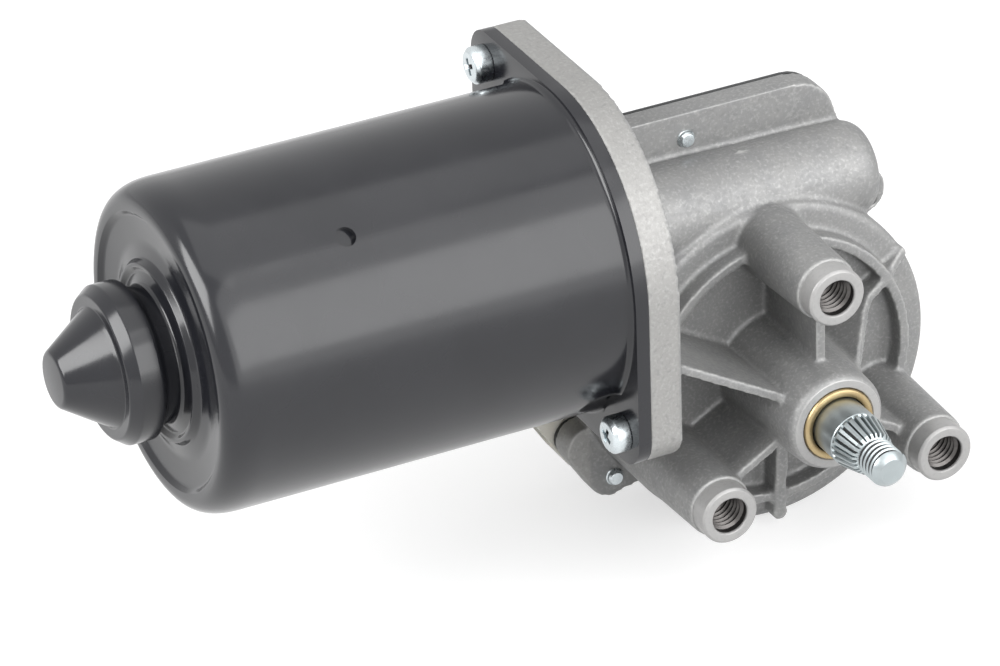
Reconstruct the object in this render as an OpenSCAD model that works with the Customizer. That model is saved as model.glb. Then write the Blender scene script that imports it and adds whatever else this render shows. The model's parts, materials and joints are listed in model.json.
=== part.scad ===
// Wiper motor: a brushed motor in a drawn can, driving a worm gearbox with a knurled output shaft.
// +Z is up, the motor nose points to -X and the output shaft points to -Y.
// The origin is where the output shaft axis crosses the plane of the three boss faces.

/* [Layout] */
// Diameter of the circle through the three mounting bosses
boss_circle_d = 57; // [55:0.5:60]
// Distance from the boss faces back to the motor axis
motor_depth = 40; // [38:0.5:42]
// Distance from the output shaft axis to the gearbox side of the motor flange
flange_to_shaft = 32.5; // [32:0.25:34]

/* [Motor can] */
// Outer radius of the drawn can
can_r = 33.75; // [33:0.25:34.5]
// Sheet thickness of the can wall
can_wall = 2; // [1.4:0.1:2.2]
// Straight length of the can from the flange face
can_body_len = 82; // [79:0.5:90]
// Length of the rounded rim beyond the straight wall
can_rim_len = 7.5; // [6:0.5:9]
// Radius at the crest of the rounded rim
can_rim_r = 29.8; // [28.5:0.1:30.5]
// Depth of the recessed end face below the rim crest
can_end_recess = 0.9; // [0.4:0.1:1.2]
// Thickness of the turned-out can flange
can_flange_t = 2.8; // [2:0.1:3.2]
// Radius of the relief dents beside the flange screws
can_relief_r = 8; // [7.5:0.1:8.4]
// Length of the relief dents along the can
can_relief_len = 9; // [6:0.5:11]
// Radius of the half-pierced dimples that locate the magnet clips
dimple_r = 2.1; // [1.6:0.1:2.6]
// Distance from the can flange face to the dimples
dimple_pos = 57.5; // [50:0.5:62]
// Radius of the bearing seat at the nose
nose_seat_r = 16.1; // [15.5:0.1:17]
// Length of the cylindrical bearing seat
nose_seat_len = 4; // [3:0.5:6]
// Radius of the groove between the end face and the bearing seat
nose_neck_r = 13.8; // [13.4:0.1:14.2]
// Length from the recessed end face to the bearing seat
nose_neck_len = 7; // [6:0.2:9]
// Radius at the foot of the nose cone
nose_cone_r = 11.75; // [11.2:0.05:12.2]
// Radius at the tip of the nose cone
nose_tip_r = 5; // [4.5:0.1:5.6]
// Length of the nose cone
nose_cone_len = 9.6; // [9:0.2:12]

/* [Motor flange] */
// Radius of the round part of both flanges
flange_r = 35.2; // [35:0.1:36.5]
// Thickness of the gearbox side flange
flange_t = 7; // [5.5:0.25:8]
// Corner radius of the two screw ears
ear_r = 6.75; // [6:0.25:7.5]
// Radius of the flange screw shank
flange_screw_r = 2.5; // [2:0.1:2.8]
// Radius of the flange screw head
flange_head_r = 4.1; // [3.6:0.1:4.6]
// Height of the flange screw head
flange_head_h = 3.4; // [2:0.1:3.8]

/* [Magnets and armature] */
// Thickness of the curved field magnets
magnet_t = 6.2; // [5.4:0.1:6.6]
// Length of the field magnets
magnet_len = 54; // [48:1:58]
// Angle that each magnet covers
magnet_span = 124; // [110:2:128]
// Distance from the can flange seat to the near end of the magnets
magnet_start = 19; // [18:0.5:22]
// Air gap between the magnets and the armature core
air_gap = 0.75; // [0.5:0.05:1.2]
// Length of the laminated armature core
core_len = 46; // [40:1:50]
// Number of armature slots and of commutator bars
slot_count = 12; // [10:1:12]
// Radius of the round bottom of each slot
slot_r = 2.7; // [2:0.1:3]
// Radius of the armature shaft
shaft_r = 4; // [3.6:0.1:4.2]
// Radius of the commutator
commutator_r = 11; // [10:0.25:11.5]
// Length of the commutator
commutator_len = 13.5; // [12.5:0.25:14.5]

/* [Brushes] */
// Width of a brush across its slide
brush_w = 5; // [4:0.25:5.5]
// Width of a brush along the motor axis
brush_axial = 7; // [6:0.25:7.5]
// Length of a brush along its slide
brush_len = 10; // [8:0.25:10.5]
// Outward travel that the holder leaves to each brush
brush_travel = 3; // [2:0.25:3.5]
// Wall of the brush holders
holder_wall = 0.8; // [0.6:0.1:1]
// Thickness of the brush plate
brush_plate_t = 2; // [1.6:0.1:2.4]

/* [Worm gear] */
// Module of the worm gear pair
gear_module = 0.94; // [0.92:0.01:0.96]
// Number of teeth of the worm wheel
wheel_teeth = 60; // [59:1:61]
// Pitch radius of the worm
worm_pitch_r = 4.8; // [4.7:0.05:5]
// Length of the worm thread
worm_len = 22; // [18:0.5:24]
// Width of the worm wheel
wheel_w = 10; // [8:0.5:10]
// Total play between the worm thread and the wheel teeth
backlash = 0.3; // [0.25:0.01:0.4]
// Outer radius of the steel hub in the wheel
wheel_hub_r = 9; // [8.5:0.25:10]

/* [Gearbox casting] */
// Gap between the wheel teeth and the cavity wall
cavity_gap = 3.4; // [3:0.1:3.8]
// Wall of the round gearbox housing
drum_wall = 3.3; // [2.6:0.1:3.8]
// Distance from the motor axis forward to the floor of the housing
drum_front = 12; // [11.5:0.25:13]
// Thickness of the housing floor
floor_t = 3; // [2.4:0.1:3.4]
// Rounding of the front edge of the housing
drum_edge_r = 1.6; // [1:0.1:2]
// Mean radius of the stiffening ridge on the housing floor
ridge_r = 29; // [28:0.25:30]
// Width of the stiffening ridge
ridge_w = 2.3; // [1.8:0.1:2.8]
// Height of the stiffening ridge
ridge_h = 4; // [3:0.25:5]
// Outer radius of the tube round the worm
tube_r = 11.2; // [10.9:0.1:11.6]
// Outer radius of the tube just before its closed end
tube_end_r = 10; // [9.8:0.1:11]
// Distance from the output shaft axis to the closed end of the tube
tube_end = 28; // [27.5:0.25:31]
// Distance from the motor axis back to the cover face
rim_depth = 10.6; // [9.8:0.1:11]
// Thickness of the rim that the cover is screwed to
rim_t = 5.6; // [5:0.1:6]
// Height of the top of the rim above the motor axis
rim_top_h = 19; // [18:0.25:20]
// Distance from the shaft axis to the start of the top corner
rim_corner_x = 15.5; // [14:0.25:17]
// Rounding of the top corner of the rim
rim_corner_r = 9.2; // [8:0.2:10]
// Width of the radial ribs
rib_w = 2; // [1.6:0.1:2.6]

/* [Bosses] */
// Radius of the machined face of a mounting boss
boss_face_r = 6.15; // [5.8:0.05:6.3]
// Length of the machined step
boss_step_len = 4.3; // [3:0.1:6]
// Radius of a boss behind the step
boss_r = 6.65; // [6.4:0.05:7]
// Radius of a boss where it meets the floor
boss_base_r = 7.5; // [7.1:0.05:7.9]
// Radius of the threaded hole in a boss
boss_hole_r = 3.4; // [3.2:0.05:3.6]
// Depth of the threaded hole
boss_hole_depth = 18; // [15:0.5:20]
// Radius of the lead-in at the mouth of the hole
boss_mouth_r = 3.9; // [3.7:0.05:4.2]
// Depth of the lead-in
boss_mouth_depth = 2; // [1:0.25:3]
// Radius of the face of the central boss
hub_face_r = 10.2; // [10:0.1:10.6]
// Radius of the central boss behind its face
hub_r = 10.6; // [10.4:0.05:11]
// Radius of the central boss where it meets the floor
hub_base_r = 12.1; // [11.8:0.1:12.6]
// Outer radius of the shaft bushes
bush_r = 7.8; // [7.5:0.1:8.2]
// Length of the front bush
front_bush_len = 11; // [8:0.5:12]
// Length of the rear bush
rear_bush_len = 11; // [8:0.5:12]

/* [Output shaft] */
// Radius of the plain output shaft
output_r = 5.9; // [5.6:0.05:6]
// Length of plain shaft in front of the boss faces
plain_len = 7.7; // [6:0.1:9]
// Length of the tapered knurl
knurl_len = 6.5; // [5:0.1:8]
// Radius at the small end of the knurl
knurl_small_r = 4.6; // [4.4:0.1:5]
// Outer radius of the output thread
thread_r = 4; // [3.8:0.05:4.2]
// Length of the output thread
thread_len = 6.1; // [5:0.1:9]
// Length of the chamfered end past the thread
tip_len = 1.4; // [1:0.1:2]
// Radius of the flat end
tip_r = 2.7; // [2.4:0.1:3]

/* [Cover and connector] */
// Thickness of the cover gasket
gasket_t = 0.4; // [0.3:0.05:0.8]
// Thickness of the cover sheet
cover_t = 1; // [0.8:0.1:1.4]
// Radius of the raised field on the cover
cover_dome_r = 22; // [18:0.5:23]
// Height of the raised field on the cover
cover_dome_h = 2.5; // [1.5:0.25:3]
// Shank radius of the cover screws
cover_screw_r = 1.7; // [1.5:0.05:1.9]
// Head radius of the cover screws
cover_head_r = 3.4; // [3:0.1:3.8]
// Head height of the cover screws
cover_head_h = 2.2; // [1.6:0.1:2.6]
// Width of the connector shell
connector_w = 20; // [18:0.5:21]
// Height of the connector shell above the cover
connector_h = 11; // [10:0.25:12]
// Length of the connector shell
connector_len = 16; // [15:0.25:16.5]
// Wall of the connector shell
connector_wall = 1.5; // [1.2:0.1:1.8]
// Number of connector blades
blade_count = 5; // [3:1:6]

/* [Hidden] */
$fn = 96;

// Clearances
running_gap = 0.03;
slide_gap = 0.1;
seat_gap = 0.1;
cut = 1;

// Gear pair
gear_pitch = PI * gear_module;
wheel_pitch_r = wheel_teeth * gear_module / 2;
pressure_angle = 20;
addendum = 0.95 * gear_module;
dedendum = 1.2 * gear_module;
worm_tip_r = worm_pitch_r + addendum;
worm_root_r = worm_pitch_r - dedendum;
wheel_tip_r = wheel_pitch_r + addendum;
wheel_root_r = wheel_pitch_r - dedendum;
flat_half = gear_pitch / 4 - backlash / 4;
worm_turns = worm_len / gear_pitch;
lead_slope = gear_pitch / (2 * PI * worm_pitch_r);

// Main planes and radii
motor_z = wheel_pitch_r + worm_pitch_r;
seat_x = -(flange_to_shaft + flange_t);
boss_circle_r = boss_circle_d / 2;
floor_y = motor_depth - drum_front;
cavity_y = floor_y + floor_t;
rim_y = motor_depth + rim_depth;
rim_face_y = rim_y - rim_t;
cavity_r = wheel_tip_r + cavity_gap;
drum_r = cavity_r + drum_wall;
boss_angles = [90, 210, 330];
boss_root = 2.2;

// Can
can_in_r = can_r - can_wall;
can_end = can_body_len + can_rim_len - can_end_recess;
neck_foot_r = nose_neck_r + 3;
neck_foot_len = 1.6;
seat_start = can_end + nose_neck_len;
seat_end = seat_start + nose_seat_len;
shoulder_len = 2.5;
cone_start = seat_end + shoulder_len;
cone_end = cone_start + nose_cone_len;
ear_c = flange_r - ear_r;
clip_angle = 127.8;
magnet_angle = clip_angle - 90;
magnet_out_r = can_in_r - seat_gap;
magnet_in_r = magnet_out_r - magnet_t;

// Armature, along the motor axis from the flange seat
core_r = magnet_in_r - air_gap;
core_start = magnet_start + (magnet_len - core_len) / 2;
slot_centre_r = core_r - slot_r - 4;
end_turn_len = 5.5;
winding_gap = 0.1;
commutator_start = 2.5;
riser_len = 2;
hub_bore_r = shaft_r + running_gap;
bearing_r = 8.5;
bearing_w = 10;
bearing_pos = (seat_start + seat_end) / 2;
ball_r = 1.9;
nose_end = cone_start + 2.2;
retainer_t = 1.2;
core_shaft_r = 2.9;

// Centre bearing, worm bush and thrust pad in the tube
recess_r = 31;
centre_bearing_r = 8;
centre_bearing_w = 9;
worm_room_r = worm_tip_r + 1.6;
end_bush_r = 6.6;
end_bush_len = 7;
pad_t = 1.4;
tube_wall_end = 2;
end_bush_x = tube_end - tube_wall_end - pad_t - end_bush_len;

// Brushes, angles about the motor axis from +Y towards +Z
brush_angles = [90, 270, 210];
brush_x = seat_x - commutator_start - brush_axial / 2 + 0.8;
brush_r0 = commutator_r + seat_gap / 2;
brush_r1 = brush_r0 + brush_len;
holder_back = brush_r1 + brush_travel + 2.4;
holder_start = brush_r0 + 1.4;
spring_r = brush_w / 2 - 0.5;
spring_wire = 0.3;
spring_turns = 4;
lead_z = [7.6, 10.1, 12.6];
lead_h = 1.5;
lead_y = rim_y - 3.4;
lead_t = 0.8;

// Output stack
shim_t = 1;
hub_flange_t = 3 - shim_t;
wheel_front = motor_depth - wheel_w / 2;
wheel_back = motor_depth + wheel_w / 2;
park_t = 0.6;
park_r = 23;
park_in_r = 12;
output_tip = -(plain_len + knurl_len + thread_len + tip_len);
bush_front = -0.7;

// Rim outline, in the x and z directions
rim_top = motor_z + rim_top_h;
lobe_low = [-28.3, -26.75];
lobe_left = [-33.3, -19];
lobe_r = 4.9;
lobe_screw = [-27.6, -27.3];
lobe_foot_angle = 237;
lobe_end_angle = 305;
cover_inset = 0.7;
lug_c = [31.4, 23.2];
lug_r = 5.1;
lug_t = 2;
lug_slot = [32.8, 21.3];
lug_slot_size = [2.6, 3.6];
lug_slot_angle = 10;
ridge_start = 104;
ridge_sweep = 343;
post_angle = 269;
post_place = drum_r - 3;
post_r = 1.6;
corner_lobe_angle = -40;
corner_lobe_c = (drum_r + 0.8) * [cos(corner_lobe_angle), sin(corner_lobe_angle)];
corner_lobe_r = 5;
screw_points = [[-9.6, rim_top - 5.7], lobe_screw, [rim_corner_x + 3, rim_top - 7], corner_lobe_c];
screw_through = [true, true, false, false];

// Cover and connector
cover_y = rim_y + gasket_t;
cover_back = cover_y + cover_t;
lobe_edge_angle = atan2(lobe_left.y - lobe_low.y, lobe_left.x - lobe_low.x);
mouth_angle = lobe_edge_angle + 90;
connector_shift = 8.8;
connector_c = (lobe_low + lobe_left) / 2 + polar(lobe_r, mouth_angle)
    + polar(connector_shift, lobe_edge_angle);
connector_floor = 2;
connector_back = 3;
plate_t = 2.5;
plate_r = cavity_r - 0.9;
contact_plate_y = cover_y - plate_t;
blade_step = (connector_w - 2 * connector_wall - 0.8) / blade_count;
blade_t = 0.8;
blade_w = blade_step - 1.1;
blade_leg = connector_len - 0.9;
blade_tip = 6.4;
blade_mid = connector_floor + (connector_h - connector_floor - connector_wall) / 2;

// Point on a circle, in its plane
function polar(r, a) = [r * cos(a), r * sin(a)];

// Points along an elliptical arc with centre c and half axes r
function arc_points(c, r, a0, a1, n) =
    [for (i = [0 : n]) c + [r.x * cos(a0 + (a1 - a0) * i / n), r.y * sin(a0 + (a1 - a0) * i / n)]];

// Radius of the worm at a turn angle, with the groove at angle 0
function worm_radius(a) =
    let (d = abs(a / 360 * gear_pitch - gear_pitch / 2),
         land = flat_half - addendum * tan(pressure_angle),
         drop = (d - land) / tan(pressure_angle))
    max(worm_root_r, worm_tip_r - max(0, drop));

// Extrudes an (x, z) outline between two depths along Y
module y_extrude(y0, y1) {
    translate([0, y1, 0]) rotate([90, 0, 0]) linear_extrude(y1 - y0) children();
}

// Extrudes an outline drawn about the motor axis between two places along X
module x_extrude(x0, x1) {
    translate([x0, motor_depth, motor_z]) rotate([90, 0, 90]) linear_extrude(x1 - x0) children();
}

// Turns children so that their Z runs from the flange seat to the nose
module toward_nose(s = 0) {
    translate([seat_x - s, motor_depth, motor_z]) rotate([0, -90, 0]) children();
}

// Turns children so that their Z runs along the motor axis to +X
module toward_gear(x) {
    translate([x, motor_depth, motor_z]) rotate([0, 90, 0]) children();
}

// Turns children so that their Z runs along the output axis to +Y
module along_output(y) {
    translate([0, y, 0]) rotate([-90, 0, 0]) children();
}

// Turns children drawn along +Y to an angle about the motor axis
module about_motor(a) {
    translate([0, motor_depth, motor_z]) rotate([a, 0, 0]) children();
}

// A straight tube along Z
module ring(r_out, r_in, h) {
    difference() {
        cylinder(r = r_out, h = h);
        translate([0, 0, -cut]) cylinder(r = r_in, h = h + 2 * cut);
    }
}

// Part of a flat ring between two angles
module ring_sector(r_out, r_in, a0, a1) {
    steps = ceil((a1 - a0) / 45);
    intersection() {
        difference() {
            circle(r = r_out);
            circle(r = r_in);
        }
        polygon(concat([[0, 0]], [for (i = [0 : steps]) polar(2 * r_out, a0 + (a1 - a0) * i / steps)]));
    }
}

// Outline shared by the can flange and the gearbox flange
module flange_outline() {
    circle(r = flange_r);
    for (turn = [0, 180]) rotate(turn) {
        square([flange_r, ear_c]);
        square([ear_c, flange_r]);
        translate([ear_c, ear_c]) circle(r = ear_r);
    }
}

// Two places of the flange screws, in the outline's plane
module at_flange_screws() {
    for (turn = [0, 180]) rotate(turn) translate([ear_c, ear_c]) children();
}

// Outline of the casting rim, which the gasket and the cover follow
module rim_outline() {
    corner_c = [rim_corner_x, rim_top - rim_corner_r];
    side_angle = atan2(-corner_c.y, -corner_c.x) + acos((rim_corner_r - drum_r) / norm(corner_c));
    inner_r = drum_r - 4;
    circle(r = drum_r);
    polygon(concat(
        [polar(inner_r, corner_lobe_angle - 35)],
        arc_points(corner_lobe_c, corner_lobe_r * [1, 1],
                   corner_lobe_angle - 65, corner_lobe_angle + 65, 8),
        [polar(inner_r, corner_lobe_angle + 35), polar(drum_r, side_angle)],
        arc_points(corner_c, rim_corner_r * [1, 1], side_angle, 90, 6),
        [[-flange_to_shaft, rim_top], [-flange_to_shaft, lobe_left.y + lobe_r + 2]],
        arc_points(lobe_left, lobe_r * [1, 1], 80, mouth_angle, 8),
        arc_points(lobe_low, lobe_r * [1, 1], mouth_angle, lobe_end_angle, 6),
        [polar(drum_r, lobe_foot_angle), polar(inner_r, 250)]));
}

// Outline of the cover and its gasket, kept clear of the motor flange
module cover_outline() {
    flange_low = motor_z - flange_r - seat_gap;
    difference() {
        offset(delta = -cover_inset) rim_outline();
        translate([-2 * drum_r, flange_low])
            square([2 * drum_r - flange_to_shaft + seat_gap, 2 * flange_r]);
    }
}

// A radial rib standing on the housing floor, with its front edge through the points [radius, y]
module rib(angle, width, crest) {
    last = crest[len(crest) - 1];
    rotate([0, -angle, 0]) translate([0, 0, -width / 2]) linear_extrude(width)
        polygon(concat(crest, [[last.x, floor_y + cut], [crest[0].x, floor_y + cut]]));
}

// Outside of the can, as [radius, distance from the flange seat]
function can_outside() = concat(
    [[0, 0], [can_r, 0]],
    arc_points([can_rim_r, can_body_len], [can_r - can_rim_r, can_rim_len], 0, 90, 6),
    [[can_rim_r - 0.7, can_end], [neck_foot_r + neck_foot_len, can_end],
     [neck_foot_r, can_end + neck_foot_len / 2], [neck_foot_r, can_end + neck_foot_len]],
    [[nose_neck_r + 0.6, can_end + neck_foot_len + 1.2], [nose_neck_r, seat_start - 2.2],
     [nose_neck_r, seat_start - 1.2], [nose_seat_r, seat_start], [nose_seat_r, seat_end],
     [nose_seat_r - 2, cone_start], [nose_cone_r, cone_start]],
    arc_points([nose_tip_r - 1, cone_end - 1.2], [1, 1.2], 30, 90, 2),
    [[0, cone_end]]);

// Inside of the can, one wall smaller
function can_inside() = concat(
    [[0, -cut], [can_in_r, -cut]],
    arc_points([can_rim_r - can_wall, can_body_len - 0.2],
               [can_r - can_rim_r, can_rim_len - can_wall], 0, 90, 6),
    [[can_rim_r - 0.7 - can_wall, can_end - can_wall], [neck_foot_r - 3, can_end - can_wall],
     [nose_neck_r - can_wall, can_end + 0.6], [nose_neck_r - can_wall, seat_start - 0.4],
     [nose_seat_r - can_wall, seat_start + can_wall - 0.9], [nose_seat_r - can_wall, seat_end - 0.9],
     [nose_cone_r - can_wall, cone_start - can_wall],
     [nose_tip_r - can_wall + 0.6, cone_end - can_wall], [0, cone_end - can_wall]]);

// Deep-drawn steel can with its flange, nose and magnet locating dimples
module motor_can() {
    relief_x = seat_x - can_flange_t;
    color("#2c2e30") difference() {
        union() {
            difference() {
                toward_nose() rotate_extrude() polygon(can_outside());
                toward_nose() rotate_extrude() polygon(can_inside());
            }
            x_extrude(relief_x, seat_x) difference() {
                flange_outline();
                circle(r = can_in_r);
            }
            x_extrude(relief_x - can_relief_len - can_wall, seat_x) intersection() {
                circle(r = can_r);
                at_flange_screws() circle(r = can_relief_r + can_wall);
            }
            for (a = [clip_angle, clip_angle + 180]) about_motor(a)
                translate([relief_x - dimple_pos + can_flange_t, can_in_r - 1, 0]) rotate([-90, 0, 0])
                cylinder(r = dimple_r - 0.3, h = 1 + can_wall / 2);
        }
        x_extrude(relief_x - can_relief_len, relief_x) at_flange_screws() circle(r = can_relief_r);
        x_extrude(relief_x - cut, seat_x + cut) at_flange_screws() circle(r = flange_screw_r + seat_gap);
        for (a = [clip_angle, clip_angle + 180]) about_motor(a)
            translate([relief_x - dimple_pos + can_flange_t, can_r - can_wall / 2, 0]) rotate([-90, 0, 0])
            cylinder(r = dimple_r, h = can_wall);
    }
}

// Two curved ferrite magnets against the can wall
module field_magnets() {
    color("#3a3836") for (turn = [0, 180])
        x_extrude(seat_x - magnet_start - magnet_len, seat_x - magnet_start)
        ring_sector(magnet_out_r, magnet_in_r,
                    magnet_angle + turn - magnet_span / 2, magnet_angle + turn + magnet_span / 2);
}

// Two sprung clips that hold the magnets apart
module magnet_clips() {
    half = 90 - magnet_span / 2 - 0.5;
    clip_t = 0.8;
    color("#9aa3a8") for (a = [clip_angle, clip_angle + 180]) difference() {
        x_extrude(seat_x - magnet_start - magnet_len + 4, seat_x - magnet_start - 4) union() {
            ring_sector(magnet_out_r, magnet_out_r - clip_t, a - half, a + half);
            for (s = [-1, 1]) rotate(a + s * half)
                translate([magnet_in_r + 0.6, -s * clip_t / 2 - clip_t / 2])
                square([magnet_t - 1.2, clip_t]);
        }
        about_motor(a) translate([seat_x - dimple_pos, can_in_r - 3, 0]) rotate([-90, 0, 0])
            cylinder(r = dimple_r, h = 4);
    }
}

// Self-aligning sintered bearing in the nose
module nose_bearing() {
    color("#b08a4e") toward_nose(bearing_pos) difference() {
        intersection() {
            sphere(r = bearing_r);
            translate([0, 0, -bearing_w / 2]) cylinder(r = bearing_r + cut, h = bearing_w);
        }
        translate([0, 0, -bearing_w]) cylinder(r = hub_bore_r, h = 2 * bearing_w);
    }
}

// Pressed ring that keeps the nose bearing in its seat
module bearing_retainer() {
    ring_s = seat_start - 0.6 - retainer_t;
    ball_cut = sqrt(pow(bearing_r, 2) - pow(bearing_pos - ring_s - retainer_t, 2));
    color("#9aa3a8") toward_nose(ring_s)
        ring(nose_neck_r - can_wall - seat_gap, ball_cut + seat_gap, retainer_t);
}

// Felt ring that stores oil round the nose bearing
module oil_felt() {
    felt_s = seat_start + can_wall - 0.8;
    felt_len = seat_end - felt_s - 1;
    color("#c9bfa5") toward_nose(felt_s)
        ring(nose_seat_r - can_wall - seat_gap, bearing_r + seat_gap, felt_len);
}

// Plastic pad in the nose cone that the shaft end bears on
module nose_thrust_pad() {
    pad_s = nose_end + ball_r + 0.02;
    pad_len = cone_end - can_wall - pad_s - seat_gap;
    slope = (nose_cone_r - nose_tip_r - 0.6) / (cone_end - cone_start);
    pad_r1 = nose_tip_r - can_wall + 0.6 - seat_gap;
    color("#e4e0d2") toward_nose(pad_s) cylinder(r1 = pad_r1 + slope * pad_len, r2 = pad_r1, h = pad_len);
}

// Insulating plate that carries the brush gear, set into the gearbox flange
module brush_plate() {
    color("#5b4632") difference() {
        x_extrude(seat_x, seat_x + brush_plate_t) difference() {
            circle(r = recess_r - seat_gap);
            circle(r = centre_bearing_r + 2.5);
        }
        translate([seat_x - cut, lead_y - 0.4, lead_z[0] - 0.4])
            cube([brush_plate_t + 2 * cut, lead_t + 0.8, lead_z[2] + lead_h - lead_z[0] + 0.8]);
    }
}

// Three box-shaped brass brush holders standing on the brush plate
module brush_holders() {
    across = brush_w + 2 * slide_gap;
    axial = brush_axial + 2 * slide_gap;
    low = brush_x - axial / 2 - holder_wall;
    color("#c4a55a") for (a = brush_angles) about_motor(a) difference() {
        translate([low, holder_start, -across / 2 - holder_wall])
            cube([seat_x - low, holder_back - holder_start, across + 2 * holder_wall]);
        translate([brush_x - axial / 2, holder_start - cut, -across / 2])
            cube([axial, holder_back - holder_start - holder_wall + cut, across]);
    }
}

// Two suppression chokes standing on the brush plate
module chokes() {
    choke_r = 3;
    choke_len = 15;
    choke_place_r = brush_r1;
    color("#a5642d") for (a = [0, 150]) about_motor(a) translate([seat_x - choke_len, choke_place_r, 0])
        rotate([0, 90, 0]) union() {
            cylinder(r = choke_r - 0.6, h = choke_len);
            translate([0, 0, 2]) cylinder(r = choke_r, h = choke_len - 4);
        }
}

// Three flat leads from the brush gear to the contact plate
module lead_bars() {
    color("#c98b4b") for (z = lead_z) union() {
        translate([seat_x, lead_y, z]) cube([flange_t + flange_to_shaft - plate_r + 6, lead_t, lead_h]);
        translate([-plate_r + 4.5, lead_y, z]) cube([1.5, contact_plate_y - lead_y, lead_h]);
    }
}

// Two domed screws that clamp the can to the gearbox
module flange_screws() {
    head_x = seat_x - can_flange_t;
    color("#c3cbcf") x_extrude_screws(head_x);
}

// Flange screws with the underside of the head at a place along X
module x_extrude_screws(head_x) {
    driver_r = 1.5;
    translate([head_x, motor_depth, motor_z]) rotate([90, 0, 90]) at_flange_screws() difference() {
        union() {
            translate([0, 0, -flange_head_h]) rotate_extrude() polygon(concat(
                [[0, flange_head_h], [flange_head_r, flange_head_h]],
                arc_points([flange_head_r - 1.4, 1.4], [1.4, -1.4], 0, 90, 4), [[0, 0]]));
            cylinder(r = flange_screw_r, h = can_flange_t + flange_t - 1);
        }
        translate([0, 0, -flange_head_h - cut]) cylinder(r = driver_r, h = cut + 1.2);
    }
}

// Front edges of the ribs, as [angle, width, points]
function rib_list() = [
    [90, rib_w, [[hub_face_r - 3, 7], [boss_circle_r, 7]]],
    [210, rib_w, [[hub_face_r - 3, 7.5], [boss_circle_r, 7.5]]],
    [330, rib_w, [[hub_face_r - 3, 8], [boss_circle_r, 8]]],
    [150, rib_w, [[hub_face_r - 3, 6], [(flange_to_shaft + 1) / cos(30), 6]]],
    [30, rib_w, [[hub_face_r - 3, 6.6], [hub_face_r - 0.8, 6.6], [21, floor_y - 7.4],
                 [23.6, floor_y - 5], [ridge_r, floor_y - ridge_h], [drum_r - 1.5, floor_y - 1.2],
                 [drum_r + 0.2, floor_y - 0.5]]],
    [post_angle, rib_w + 0.8, [[hub_face_r - 3, floor_y - 7], [hub_base_r + 2, floor_y - 5.5],
                        [ridge_r, floor_y - ridge_h - 0.8], [post_place, floor_y - ridge_h - 0.8]]]];

// Outside of the casting, before it is hollowed
module housing_body() {
    x_extrude(seat_x, -flange_to_shaft) flange_outline();
    toward_gear(-flange_to_shaft) rotate_extrude() polygon(concat(
        [[0, 0], [tube_r, 0]],
        arc_points([tube_end_r - 3, flange_to_shaft + tube_end - 4.5], [3, 4.5], 0, 90, 5),
        [[0, flange_to_shaft + tube_end]]));
    along_output(floor_y) rotate_extrude() polygon(concat(
        [[0, rim_y - floor_y], [0, 0]],
        arc_points([drum_r - drum_edge_r, drum_edge_r], [drum_edge_r, drum_edge_r], 270, 360, 4),
        [[drum_r, rim_y - floor_y]]));
    y_extrude(floor_y - ridge_h, floor_y + cut)
        ring_sector(ridge_r + ridge_w / 2, ridge_r - ridge_w / 2, ridge_start, ridge_start + ridge_sweep);
    y_extrude(rim_face_y, rim_y) rim_outline();
    y_extrude(rim_face_y, rim_face_y + lug_t) translate(lug_c) circle(r = lug_r);
    for (a = boss_angles) rotate([0, -a, 0]) translate([boss_circle_r, 0, 0]) rotate([-90, 0, 0]) {
        cylinder(r = boss_face_r, h = boss_step_len);
        translate([0, 0, boss_step_len])
            cylinder(r1 = boss_r, r2 = boss_base_r, h = floor_y + boss_root - boss_step_len);
    }
    along_output(0) rotate_extrude() polygon([[0, 0], [hub_face_r - 0.5, 0], [hub_face_r, 0.5],
        [hub_r, 1.6], [hub_base_r, floor_y + cut], [0, floor_y + cut]]);
    for (r = rib_list()) rib(r[0], r[1], r[2]);
    rotate([0, -post_angle, 0]) translate([post_place, floor_y - ridge_h - 0.8, 0]) rotate([-90, 0, 0])
        cylinder(r = post_r, h = rim_t);
}

// Cast gearbox with its flange, worm tube, bosses, ribs and hollow
module gearbox_housing() {
    color("#a3a6a6") difference() {
        housing_body();
        translate([-flange_to_shaft, rim_y, -2 * drum_r]) cube([4 * drum_r, 2 * drum_r, 5 * drum_r]);
        along_output(cavity_y) cylinder(r = cavity_r, h = rim_y);
        along_output(-cut) cylinder(r = bush_r, h = cut + front_bush_len + bush_front);
        along_output(-cut) cylinder(r = output_r + 1, h = cavity_y + 2 * cut);
        along_output(cavity_y - rear_bush_len) cylinder(r = bush_r, h = rear_bush_len + cut);
        for (a = boss_angles) rotate([0, -a, 0]) translate([boss_circle_r, -cut, 0]) rotate([-90, 0, 0]) {
            cylinder(r = boss_hole_r, h = cut + boss_hole_depth);
            cylinder(r = boss_mouth_r, h = cut + boss_mouth_depth);
        }
        toward_gear(seat_x - cut) cylinder(r = recess_r, h = cut + brush_plate_t);
        toward_gear(seat_x) cylinder(r = centre_bearing_r, h = brush_plate_t + centre_bearing_w);
        toward_gear(seat_x + brush_plate_t + centre_bearing_w - cut)
            cylinder(r = worm_room_r, h = end_bush_x - seat_x - brush_plate_t - centre_bearing_w + cut);
        toward_gear(0) cylinder(r = end_bush_r, h = tube_end - tube_wall_end);
        y_extrude(rim_face_y - cut, rim_face_y + lug_t + cut)
            translate(lug_slot) rotate(lug_slot_angle) square(lug_slot_size, center = true);
        x_extrude(seat_x - cut, -flange_to_shaft - 1) at_flange_screws() circle(r = flange_screw_r);
        translate([seat_x, lead_y - 0.6, lead_z[0] - 1])
            cube([flange_t + 6, lead_t + 1.2, lead_z[2] + lead_h - lead_z[0] + 2]);
        for (i = [0 : len(screw_points) - 1])
            y_extrude(screw_through[i] ? rim_face_y - cut : rim_y - 4.6, rim_y + cut)
            translate(screw_points[i]) circle(r = cover_screw_r);
    }
}

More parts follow.
